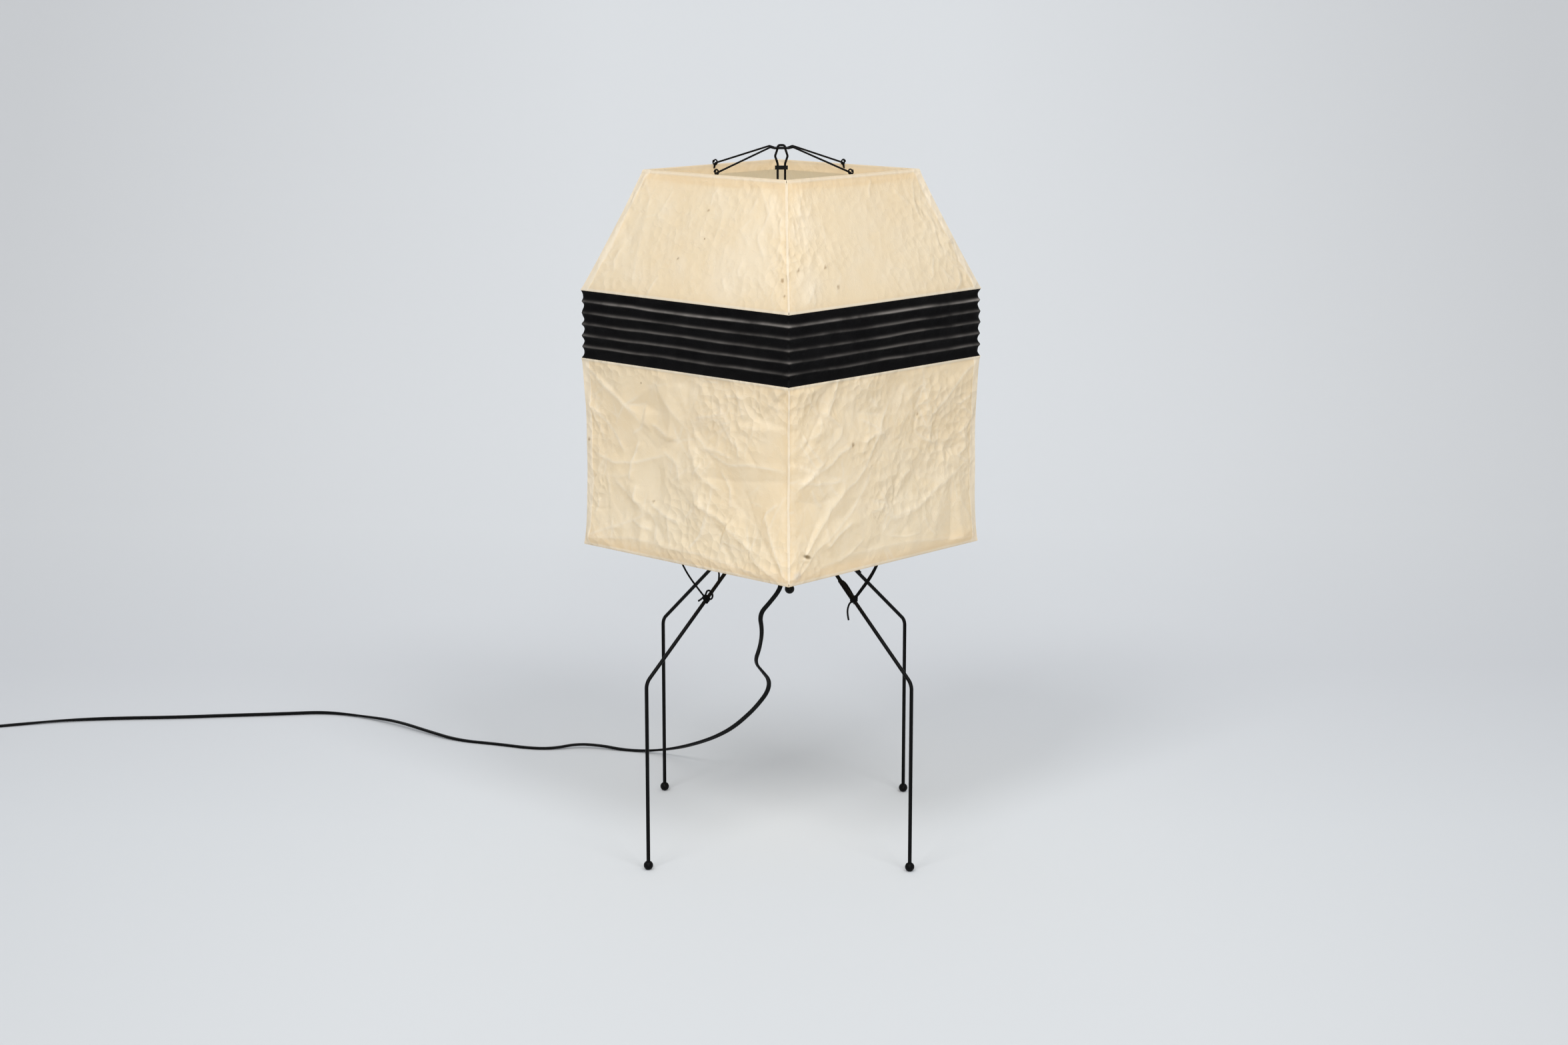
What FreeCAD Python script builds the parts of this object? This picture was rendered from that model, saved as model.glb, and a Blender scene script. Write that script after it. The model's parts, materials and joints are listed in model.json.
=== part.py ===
import FreeCAD, Part
import math
import os
import re
import Sketcher

# A paper table lamp: a square lantern of paper on wire ribs, hung on a wire harp
# and tied down to four wire legs.
# Millimetres, +Z up, origin on the floor under the middle of the lamp,
# shade sides along X and Y, front at -Y.

V = FreeCAD.Vector
SIDES = (("right", 0), ("back", 90), ("left", 180), ("front", 270))

SIZES = (
    ("shade_side", 300, "outside width of the shade"),
    ("top_side", 205, "outside width of the shade at its top rim"),
    ("bottom_rim_z", 325, "height of the shade's lower edge above the floor"),
    ("lower_height", 202, "height of the plain lower paper"),
    ("pleat_pitch", 12, "height of one pleat of the black band"),
    ("pleat_depth", 3, "how far the band draws in between two ribs"),
    ("upper_height", 126, "height of the sloping upper paper"),
    ("paper_thick", 0.5, "thickness of the paper, measured level"),
    ("rim_wire", 2, "wire of the top, shoulder, band foot and bottom rims"),
    ("rib_wire", 1.5, "wire of the ribs in the band"),
    ("rim_corner", 4, "bend radius at the corners of rims and ribs"),
    ("glue_gap", 0.3, "room between a wire and the paper glued over it"),
    ("foot_reach", 195, "distance of each foot from the lamp's axis"),
    ("leg_turn", -3.1, "degrees that the legs stand round from the shade's sides"),
    ("leg_wire", 4, "rod of the legs"),
    ("leg_bend_z", 204, "height of the bend in a leg"),
    ("leg_bend_radius", 14, "radius of that bend"),
    ("leg_apex_z", 377, "height at which the four legs aim at the axis"),
    ("foot_ball", 10, "rubber ball on the end of a leg"),
    ("foot_cut", 70, "degrees below level where the ball is cut flat"),
    ("foot_socket", 5, "depth of the leg's end in its ball"),
    ("snug", 0.05, "room around a rod in its hole"),
    ("rest_gap", 0.3, "room between pieces that rest on each other and move"),
    ("hub_diameter", 68, "hub that carries the legs"),
    ("hub_height", 20, "height of the hub"),
    ("hub_z", 341, "height of the hub's underside"),
    ("socket_wall", 5, "metal between a leg's end and the hub's bore"),
    ("screw_diameter", 4, "grub screw that holds a leg"),
    ("screw_reach", 29, "distance of the grub screws from the axis"),
    ("screw_length", 4.5, "length of a grub screw"),
    ("screw_key", 2, "hexagon in the grub screw"),
    ("holder_diameter", 39, "outside of the lampholder"),
    ("holder_wall", 3, "wall of the lampholder"),
    ("holder_above", 11, "lampholder's mouth above the hub"),
    ("holder_height", 46, "height of the lampholder's body"),
    ("mouth_round", 1, "rounding of the lampholder's mouth"),
    ("clamp_diameter", 50, "rings that clamp the lampholder in the hub"),
    ("clamp_height", 5, "height of a clamp ring"),
    ("clamp_round", 1, "rounding of a clamp ring's edges"),
    ("cap_height", 16, "height of the lampholder's cap"),
    ("cap_round", 6, "rounding of the cap's lower edge"),
    ("switch_height", 14, "height of the pull switch in the cap"),
    ("block_height", 8, "height of the contact block"),
    ("core_gap", 0.4, "room around the switch and the contact block"),
    ("shell_diameter", 27.6, "screw shell for the bulb"),
    ("shell_wall", 0.5, "wall of the screw shell"),
    ("shell_height", 26, "height of the screw shell"),
    ("contact_width", 6, "centre contact"),
    ("contact_thick", 1.2, "thickness of the centre contact"),
    ("bulb_cap_diameter", 26, "screw cap of the bulb"),
    ("bulb_cap_height", 24, "height of that cap"),
    ("bulb_tip_diameter", 9, "centre tip of the bulb"),
    ("bulb_tip_height", 2, "height of that tip"),
    ("bulb_diameter", 60, "glass of the bulb"),
    ("bulb_glass_height", 78, "height of the glass above its cap"),
    ("bulb_glass_wall", 0.8, "wall of the glass"),
    ("bulb_neck", 10, "straight neck of the glass"),
    ("bulb_flare", 24, "height over which the neck widens"),
    ("bulb_shoulder", 15, "rounding where the neck has widened"),
    ("bulb_crown", 28.8, "rounding of the glass's top"),
    ("harp_wire", 2.4, "wire of the harp"),
    ("harp_reach", 27, "distance of the harp's feet from the axis"),
    ("harp_seat", 12, "depth of the harp's feet in the hub"),
    ("harp_foot", 17, "height of the harp's upright feet above the hub"),
    ("harp_half_width", 47, "half width of the harp beside the bulb"),
    ("harp_flare", 30, "height over which the harp widens"),
    ("harp_straight", 100, "height of the harp's widest stretch"),
    ("harp_neck", 100, "height over which the harp closes again"),
    ("harp_rise", 27, "top of the harp above the shade's top"),
    ("hairpin_half", 3.9, "half distance of the wires in the hairpin"),
    ("hairpin_bulge", 6.6, "half distance of the wires at the shoulder under the eye"),
    ("hairpin_rise", 4.6, "height of the hairpin above its shoulder"),
    ("hairpin_round", 2.6, "bend of the hairpin at its top"),
    ("shoulder_drop", 8, "height over which the shoulder widens"),
    ("shoulder_return", 8, "height over which it closes again"),
    ("shoulder_round", 2.7, "bend of the wires at the shoulder"),
    ("ferrule_width", 13.5, "ferrule that holds the two wires under the shoulder"),
    ("ferrule_depth", 5, "depth of the ferrule"),
    ("ferrule_height", 4, "height of the ferrule"),
    ("ferrule_drop", 2, "straight wire between the shoulder and the ferrule"),
    ("arm_wire", 2, "wire of the spider's arms and eye"),
    ("arm_level", 2.5, "level stretch of an arm at the eye"),
    ("arm_bend", 4, "bend of an arm at the end of that stretch"),
    ("arm_knee", 17, "distance of an arm's knee from the axis"),
    ("arm_rise", 1.5, "height of that knee above the eye"),
    ("arm_knee_radius", 6, "bend of an arm at its knee"),
    ("hook_drop", 3, "height of an arm's hook above the top rim"),
    ("hook_bend", 3, "bend of an arm into its hook"),
    ("hook_turn", 2, "bend of the hook round the top rim"),
    ("tie_string", 1.6, "string that ties the shade to a leg"),
    ("tie_knot", 5.2, "knot in that string"),
    ("tie_reach", 110, "distance from the axis of the knot's place on the leg"),
    ("tie_lap", 2, "level stretch of the string under the bottom rim"),
    ("pull_reach", 12, "distance of the pull string from the axis"),
    ("pull_string", 1.2, "string of the pull switch"),
    ("pull_drop", 35.5, "bead's middle below the cap"),
    ("pull_bead", 10.5, "bead on the pull string"),
    ("guide_diameter", 5, "bush that the pull string runs in"),
    ("guide_flange", 7, "flange of that bush"),
    ("guide_lip", 1, "thickness of that flange"),
    ("grip_length", 20, "cord grip below the cap"),
    ("grip_diameter", 11, "cord grip at the cap"),
    ("grip_collar", 1.5, "how far the grip's collar stands out inside the cap"),
    ("cord_width", 5.2, "width of the flat cord"),
    ("coil_inside", 22.5, "inner radius of the coil"),
    ("coil_outside", 34.2, "outer radius of the coil"),
    ("coil_height", 10.4, "height of the coil"),
    ("coil_round", 3.4, "rounding of the coil's edges"),
    ("tie_band", 0.8, "thickness of the band round the coil"),
    ("tie_band_width", 8, "width of that band"),
    ("tie_band_room", 0.6, "room between that band and the coil"),
    ("plug_length", 26, "body of the plug"),
    ("plug_width", 24, "width of the plug"),
    ("plug_height", 13, "height of the plug"),
    ("plug_round", 3, "rounding of the plug's edges"),
    ("plug_sleeve", 14, "sleeve on the plug where the cord enters"),
    ("plug_sleeve_diameter", 8, "sleeve at the plug's body"),
    ("pin_length", 17, "blades of the plug"),
    ("pin_width", 6.3, "width of a blade"),
    ("pin_thick", 1.5, "thickness of a blade"),
    ("pin_spacing", 12.7, "distance between the blades"),
)

PLEATS = 6

# The cord's route, from the cord grip to the coil: it hangs behind the lamp and then lies on the floor.
CORD_ROUTE = (
    (0, 0, 280), (0, 3.5, 270), (1, 18, 254.5), (2, 35, 238), (14, 42, 216), (26, 57, 192), (33, 72, 171),
    (50, 76, 156), (66, 80, 142), (75, 91, 125), (80, 110, 106), (87, 132, 88), (94, 164, 64),
    (99, 195, 46), (103, 227, 31), (106, 262, 17), (107, 295, 7), (98, 322, 2.6), (85, 344, 2.6),
    (74, 370, 4.6), (57, 394, 5.6), (32, 408, 2.8), (13, 430, 2.6), (-3, 474, 2.6), (-25, 520, 2.6),
    (-31, 572, 5), (-32, 630, 6.6), (-38, 690, 2.6), (-60, 738, 2.6), (-101, 770, 2.6), (-152, 814, 2.6),
    (-205, 858, 2.6), (-256, 907, 2.6), (-307, 949, 2.6), (-352, 975, 2.6), (-386, 993, 2.6),
)
COIL_CENTRE = (-430.7, 986.3)
COIL_ENTRY_ANGLE = 56.5
TAIL_LEAVE_ANGLE = 146.5
TAIL_RUN = 20
TAIL_TURN = 12
TIE_BAND_ANGLE = 300
ARC_SHARE = 0.45

# Heights and places worked out from the sizes.
WORKED_OUT = (
    ("band_foot_z", "bottom_rim_z + lower_height"),
    ("shoulder_z", f"band_foot_z + {PLEATS} * pleat_pitch"),
    ("top_z", "shoulder_z + upper_height"),
    ("pleat_slant", "sqrt(1 + (2 * pleat_depth / pleat_pitch) ^ 2)"),
    ("rim_inset", "paper_thick + (rim_wire / 2 + glue_gap) * pleat_slant"),
    ("rib_inset", "paper_thick + (rib_wire / 2 + glue_gap) * pleat_slant"),
    ("leg_fall", "(leg_apex_z - leg_bend_z) / foot_reach"),
    ("leg_length_ratio", "sqrt(1 + leg_fall ^ 2)"),
    ("foot_z", "foot_ball / 2 * sin(foot_cut)"),
    ("leg_foot_z", "foot_z + foot_ball / 2 - foot_socket"),
    ("holder_bore", "holder_diameter / 2 + snug"),
    ("leg_end", "holder_bore + socket_wall"),
    ("leg_end_z", "leg_apex_z - leg_end * leg_fall"),
    ("hub_top", "hub_z + hub_height"),
    ("holder_mouth", "hub_top + holder_above"),
    ("holder_foot", "holder_mouth - holder_height"),
    ("holder_inside", "holder_diameter / 2 - holder_wall"),
    ("cap_z", "holder_foot - cap_height"),
    ("cap_floor", "cap_z + holder_wall"),
    ("block_z", "cap_floor + switch_height"),
    ("block_top", "block_z + block_height"),
    ("tip_z", "block_top + contact_thick"),
    ("bulb_cap_z", "tip_z + bulb_tip_height"),
    ("glass_z", "bulb_cap_z + bulb_cap_height"),
    ("glass_top", "glass_z + bulb_glass_height"),
    ("harp_top_z", "top_z + harp_rise"),
    ("hairpin_top", "harp_top_z - harp_wire / 2"),
    ("hairpin_foot", "harp_top_z - hairpin_rise"),
    ("shoulder_low", "hairpin_foot - shoulder_drop"),
    ("shoulder_end", "shoulder_low - shoulder_return"),
    ("ferrule_z", "shoulder_end - ferrule_drop - ferrule_height"),
    ("harp_wide_z", "hub_top + harp_foot + harp_flare"),
    ("harp_close_z", "harp_wide_z + harp_straight"),
    ("harp_closed_z", "harp_close_z + harp_neck"),
    ("eye_ring", "hairpin_half + harp_wire / 2 + rest_gap + arm_wire / 2"),
    ("shoulder_slant", "sqrt(shoulder_drop ^ 2 + (hairpin_bulge - hairpin_half) ^ 2)"),
    ("eye_clear", "(harp_wire / 2 + arm_wire / 2 + rest_gap) * shoulder_slant"),
    ("eye_z", "hairpin_foot + (eye_clear - (eye_ring - hairpin_half) * shoulder_drop)"
              " / (hairpin_bulge - hairpin_half)"),
    ("top_rim_reach", "top_side / 2 - rim_inset"),
    ("top_rim_z", "top_z - rim_wire / 2"),
    ("hook_radius", "rim_wire / 2 + arm_wire / 2 + glue_gap"),
    ("bottom_rim_reach", "shade_side / 2 - rim_inset"),
    ("knot_lift", "leg_wire / 2 + rest_gap + tie_knot / 2"),
    ("knot_reach", "tie_reach + knot_lift * leg_fall / leg_length_ratio"),
    ("knot_z", "leg_apex_z - tie_reach * leg_fall + knot_lift / leg_length_ratio"),
    ("tie_z", "bottom_rim_z - glue_gap - tie_string / 2"),
    ("tie_bend", "bottom_rim_reach - tie_lap"),
    ("bead_z", "cap_z - pull_drop"),
    ("guide_bore", "pull_string / 2 + rest_gap"),
    ("grip_z", "cap_z - grip_length"),
    ("coil_z", "tie_band + snug"),
    ("coil_winding", "(coil_inside + coil_outside) / 2"),
)

doc = FreeCAD.newDocument("paper_table_lamp")
cells = {}


def fill_sheet(name, rows):
    """A sheet with one named cell for each row."""
    sheet = doc.addObject("Spreadsheet::Sheet", name)
    for number, (alias, content, note) in enumerate(rows, start=1):
        sheet.set(f"A{number}", alias)
        sheet.set(f"B{number}", str(content))
        sheet.set(f"C{number}", note)
        sheet.setAlias(f"B{number}", alias)
    doc.recompute()
    cells.update({alias: f"{name}.{alias}" for alias, content, note in rows})
    return sheet


def formula(text):
    """The same formula, with each size's name made a reference to its cell."""
    return re.sub(r"[a-z][a-z_]*", lambda word: cells.get(word.group(), word.group()), str(text))


sizes = fill_sheet("sizes", SIZES)
fill_sheet("worked", [(alias, "=" + formula(text), "worked out") for alias, text in WORKED_OUT])


def value(text):
    """What a formula comes to now."""
    result = sizes.evalExpression(formula(text))
    return getattr(result, "Value", result)


def bind(thing, **formulas):
    """Ties properties of an object to formulas."""
    for name, text in formulas.items():
        thing.setExpression(name, formula(text))
    return thing


def place(thing, x=0, y=0, z=0, turn=0, tilt=0):
    """Puts an object at a place given by formulas, tilted about Y and then turned about Z, in degrees."""
    rotation = FreeCAD.Rotation(value(turn), value(tilt), 0)
    thing.Placement = FreeCAD.Placement(V(value(x), value(y), value(z)), rotation)
    for axis, text in (("x", x), ("y", y), ("z", z)):
        if text != 0:
            thing.setExpression(f"Placement.Base.{axis}", formula(text))
    return thing


def primitive(kind, name, **formulas):
    """One of the basic solids, sized by formulas."""
    return bind(doc.addObject(f"Part::{kind}", name), **formulas)


def cut(label, base, tools):
    """The base with the tools taken out of it."""
    gathered = doc.addObject("Part::MultiFuse", f"{label}_cuts") if len(tools) > 1 else tools[0]
    if len(tools) > 1:
        gathered.Shapes = tools
    result = doc.addObject("Part::Cut", label)
    result.Base = base
    result.Tool = gathered
    result.Label = label
    return result


def fuse(label, first, second):
    """Two solids made one."""
    result = doc.addObject("Part::Fuse", label)
    result.Base = first
    result.Tool = second
    result.Label = label
    return result


def group(label, solids):
    """Several like solids kept apart in one node."""
    result = doc.addObject("Part::Compound", label)
    result.Links = solids
    result.Label = label
    return result


def new_body(label):
    body = doc.addObject("PartDesign::Body", label)
    body.Label = label
    return body


def new_sketch(body, name, plane, offset=(0, 0, 0)):
    """A sketch on one of the body's own planes, moved by formulas in that plane's directions."""
    sketch = body.newObject("Sketcher::SketchObject", name)
    support = [item for item in body.Origin.OriginFeatures if item.Role == plane][0]
    sketch.AttachmentSupport = [(support, "")]
    sketch.MapMode = "FlatFace"
    for axis, text in zip("xyz", offset):
        if text != 0:
            sketch.setExpression(f"AttachmentOffset.Base.{axis}", formula(text))
    return sketch


def pin_point(sketch, spot, x, y):
    """Fixes one point of a sketch at formulas for its two coordinates."""
    for kind, text, axis in (("DistanceX", x, -2), ("DistanceY", y, -1)):
        if text == 0:
            sketch.addConstraint(Sketcher.Constraint("PointOnObject", *spot, axis))
        else:
            index = sketch.addConstraint(Sketcher.Constraint(kind, -1, 1, *spot, value(text)))
            sketch.setExpression(f"Constraints[{index}]", formula(text))


def rounding(before, corner, after, radius):
    """Start, end, centre and sense of the arc that rounds a corner of an outline."""
    into = (corner - before).normalize()
    out = (after - corner).normalize()
    reach = radius * math.tan(into.getAngle(out) / 2)
    start = corner - into * reach
    end = corner + out * reach
    leftward = into.cross(out).z > 0
    side = V(-into.y, into.x, 0) if leftward else V(into.y, -into.x, 0)
    return start, end, start + side * radius, leftward


def outline(sketch, points, closed=True):
    """Straight runs through points (x, y, rounding radius or None), all formulas, fully constrained."""
    corners = [V(value(x), value(y), 0) for x, y, radius in points]
    count = len(points)
    arcs = {}
    for i, (x, y, radius) in enumerate(points):
        if radius is not None:
            arcs[i] = rounding(corners[i - 1], corners[i], corners[(i + 1) % count], value(radius))
    leave = [arcs[i][1] if i in arcs else corners[i] for i in range(count)]
    reach = [arcs[i][0] if i in arcs else corners[i] for i in range(count)]
    runs = count if closed else count - 1
    lines = []
    for i in range(runs):
        lines.append(sketch.addGeometry(Part.LineSegment(leave[i], reach[(i + 1) % count]), False))
    for i, (x, y, radius) in enumerate(points):
        before = lines[i - 1] if closed or i > 0 else None
        after = lines[i] if i < runs else None
        if i in arcs:
            start, end, centre, leftward = arcs[i]
            first, last = (start, end) if leftward else (end, start)
            angles = [math.atan2(p.y - centre.y, p.x - centre.x) for p in (first, last)]
            circle = Part.Circle(centre, V(0, 0, 1), value(radius))
            arc = sketch.addGeometry(Part.ArcOfCircle(circle, *angles), False)
            head, tail = (1, 2) if leftward else (2, 1)
            sketch.addConstraint(Sketcher.Constraint("Tangent", before, 2, arc, head))
            sketch.addConstraint(Sketcher.Constraint("Tangent", arc, tail, after, 1))
            index = sketch.addConstraint(Sketcher.Constraint("Radius", arc, value(radius)))
            sketch.setExpression(f"Constraints[{index}]", formula(radius))
            mark = sketch.addGeometry(Part.Point(corners[i]), True)
            sketch.addConstraint(Sketcher.Constraint("PointOnObject", mark, 1, before))
            sketch.addConstraint(Sketcher.Constraint("PointOnObject", mark, 1, after))
            spot = (mark, 1)
        elif before is not None and after is not None:
            sketch.addConstraint(Sketcher.Constraint("Coincident", before, 2, after, 1))
            spot = (after, 1)
        else:
            spot = (before, 2) if after is None else (after, 1)
        pin_point(sketch, spot, x, y)
    return sketch


def turned(label, points):
    """A solid of revolution about the lamp's axis, from its half section."""
    body = new_body(label)
    section = outline(new_sketch(body, f"{label}_section", "XZ_Plane"), points)
    turn = body.newObject("PartDesign::Revolution", f"{label}_turn")
    turn.Profile = section
    turn.ReferenceAxis = (section, ["V_Axis"])
    turn.Angle = 360
    return body


def bent_wire(label, diameter, path, start_plane, start,
              path_plane="XZ_Plane", path_offset=(0, 0, 0), closed=False):
    """A round wire along a bent path, with its section drawn on a plane square to the path's start."""
    body = new_body(label)
    route = outline(new_sketch(body, f"{label}_path", path_plane, path_offset), path, closed)
    section = new_sketch(body, f"{label}_section", start_plane, start)
    radius = f"{diameter} / 2"
    circle = section.addGeometry(Part.Circle(V(0, 0, 0), V(0, 0, 1), value(radius)), False)
    section.addConstraint(Sketcher.Constraint("Coincident", circle, 3, -1, 1))
    index = section.addConstraint(Sketcher.Constraint("Radius", circle, value(radius)))
    section.setExpression(f"Constraints[{index}]", formula(radius))
    doc.recompute()
    pipe = body.newObject("PartDesign::AdditivePipe", f"{label}_pipe")
    pipe.Profile = section
    pipe.Spine = (route, [f"Edge{i + 1}" for i in range(len(route.Shape.Edges))])
    return body


def square_wire(label, diameter, reach, z):
    """A wire bent to a square, its axis at a reach from the lamp's axis and at a height."""
    back = f"-({reach})"
    corners = [(back, back), (reach, back), (reach, reach), (back, reach)]
    path = [(x, y, "rim_corner") for x, y in corners]
    start = (back, z, f"rim_corner - ({reach})")
    return bent_wire(label, diameter, path, "YZ_Plane", start, "XY_Plane", (0, 0, z), True)


def paper_panel(label, angle, low_side, low_z, high_side, high_z):
    """One flat paper wall, mitred at both ends, between two square levels."""
    body = new_body(label)
    edges = []
    for name, side, z in (("low", low_side, low_z), ("high", high_side, high_z)):
        out = f"{side} / 2"
        inner = f"{side} / 2 - paper_thick"
        corners = [(out, f"-{out}"), (out, out), (inner, inner), (inner, f"paper_thick - {out}")]
        sketch = new_sketch(body, f"{label}_{name}", "XY_Plane", (0, 0, z))
        edges.append(outline(sketch, [(x, y, None) for x, y in corners]))
    loft = body.newObject("PartDesign::AdditiveLoft", f"{label}_loft")
    loft.Profile = edges[0]
    loft.Sections = [edges[1]]
    loft.Ruled = True
    return place(body, turn=angle)


def square_at(half, z):
    """A square outline round the lamp's axis."""
    corners = [V(half, -half, z), V(half, half, z), V(-half, half, z), V(-half, -half, z)]
    return Part.makePolygon(corners + corners[:1])


def pleated_band(label):
    """The black band: a square tube of paper that draws in between one rib and the next."""
    half = value("shade_side / 2")
    depth = value("pleat_depth")
    step = value("pleat_pitch / 2")
    levels = [(half - depth * (i % 2), value("band_foot_z") + i * step) for i in range(2 * PLEATS + 1)]
    thick = value("paper_thick")
    outer = Part.makeLoft([square_at(reach, z) for reach, z in levels], True, True)
    inner = Part.makeLoft([square_at(reach - thick, z) for reach, z in levels], True, True)
    band = doc.addObject("Part::Feature", label)
    band.Shape = outer.cut(inner)
    band.Label = label
    return band


def round_path(points):
    """Straight runs joined by tangent arcs, each as large as its two runs allow, and the arcs' radii."""
    edges = []
    radii = []
    last = points[0]
    for before, corner, after in zip(points, points[1:], points[2:]):
        into = corner - before
        out = after - corner
        half_turn = into.getAngle(out) / 2
        reach = ARC_SHARE * min(into.Length, out.Length)
        radii.append(reach / math.tan(half_turn))
        start = corner - into.normalize() * reach
        end = corner + out.normalize() * reach
        middle_way = (start + end) * 0.5 - corner
        sagitta = radii[-1] * (1 / math.cos(half_turn) - 1)
        middle = corner + middle_way.normalize() * sagitta
        edges.append(Part.LineSegment(last, start).toShape())
        edges.append(Part.Arc(start, middle, end).toShape())
        last = end
    edges.append(Part.LineSegment(last, points[-1]).toShape())
    return Part.Wire(edges), radii


def cord_tube(label, points):
    """A plain tube along a stretch of cord."""
    path, radii = round_path(points)
    heading = points[1] - points[0]
    ring = Part.Wire(Part.makeCircle(value("cord_width / 2"), points[0], heading))
    tube = doc.addObject("Part::Feature", label)
    tube.Shape = path.makePipeShell([ring], True, False)
    tube.Label = label
    expected = path.Length * math.pi * value("cord_width / 2") ** 2
    print(f"{label}: {path.Length:.0f} mm long, volume ratio {tube.Shape.Volume / expected:.4f}")
    print("  bend radii", " ".join(f"{radius:.0f}" for radius in radii))
    return tube


def make_stand():
    """Four wire legs with rubber balls, and the hub that they are screwed into."""
    pieces = []
    leg_bores = []
    screw_bores = []
    screws = []
    leg_room = "leg_wire / 2 + snug"
    slope = "90 deg + atan(leg_fall)"
    leg_path = [("foot_reach", "leg_foot_z", None), ("foot_reach", "leg_bend_z", "leg_bend_radius"),
                ("leg_end", "leg_end_z", None)]
    screw_edge = "(screw_reach - screw_diameter / 2)"
    screw_foot = f"leg_apex_z - {screw_edge} * leg_fall + leg_wire / 2 * leg_length_ratio"
    for side, angle in SIDES:
        turn = f"{angle} + leg_turn"
        leg = bent_wire(f"leg_{side}", "leg_wire", leg_path, "XY_Plane", ("foot_reach", 0, "leg_foot_z"))
        ball = primitive("Sphere", f"ball_{side}", Radius="foot_ball / 2", Angle1="-foot_cut")
        socket = primitive("Cylinder", f"ball_socket_{side}", Radius=leg_room, Height="foot_ball")
        spot_x = f"foot_reach * cos({turn})"
        spot_y = f"foot_reach * sin({turn})"
        place(ball, spot_x, spot_y, "foot_z")
        place(socket, spot_x, spot_y, "leg_foot_z")
        pieces += [place(leg, turn=turn), cut(f"foot_{side}", ball, [socket])]

        bore = primitive("Cylinder", f"leg_bore_{side}", Radius=leg_room, Height="hub_diameter")
        place(bore, f"leg_end * cos({turn})", f"leg_end * sin({turn})", "leg_end_z", turn, slope)
        leg_bores.append(bore)
        thread = primitive("Cylinder", f"screw_bore_{side}",
                           Radius="screw_diameter / 2 + snug", Height="hub_height")
        screw = primitive("Cylinder", f"screw_blank_{side}",
                          Radius="screw_diameter / 2", Height="screw_length")
        key = primitive("Prism", f"screw_key_{side}",
                        Circumradius="screw_key / 2 / cos(30)", Height="screw_length")
        screw_x = f"screw_reach * cos({turn})"
        screw_y = f"screw_reach * sin({turn})"
        place(thread, screw_x, screw_y, screw_foot)
        place(screw, screw_x, screw_y, f"{screw_foot} + snug")
        place(key, screw_x, screw_y, f"{screw_foot} + screw_length / 2")
        screw_bores.append(thread)
        screws.append(cut(f"screw_{side}", screw, [key]))

    blank = primitive("Cylinder", "hub_blank", Radius="hub_diameter / 2", Height="hub_height")
    bore = primitive("Cylinder", "hub_bore", Radius="holder_bore", Height="hub_height")
    place(blank, z="hub_z")
    place(bore, z="hub_z")
    harp_bores = []
    for sign in (1, -1):
        seat = primitive("Cylinder", f"harp_bore_{len(harp_bores)}",
                         Radius="harp_wire / 2 + snug", Height="harp_seat")
        seat_x = f"{sign} * harp_reach * cos(45)"
        seat_y = f"{-sign} * harp_reach * sin(45)"
        place(seat, seat_x, seat_y, "hub_top - harp_seat")
        harp_bores.append(seat)
    hub = cut("hub", blank, [bore] + leg_bores + screw_bores + harp_bores)
    return pieces + [hub, group("leg_screws", screws)]


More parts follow.
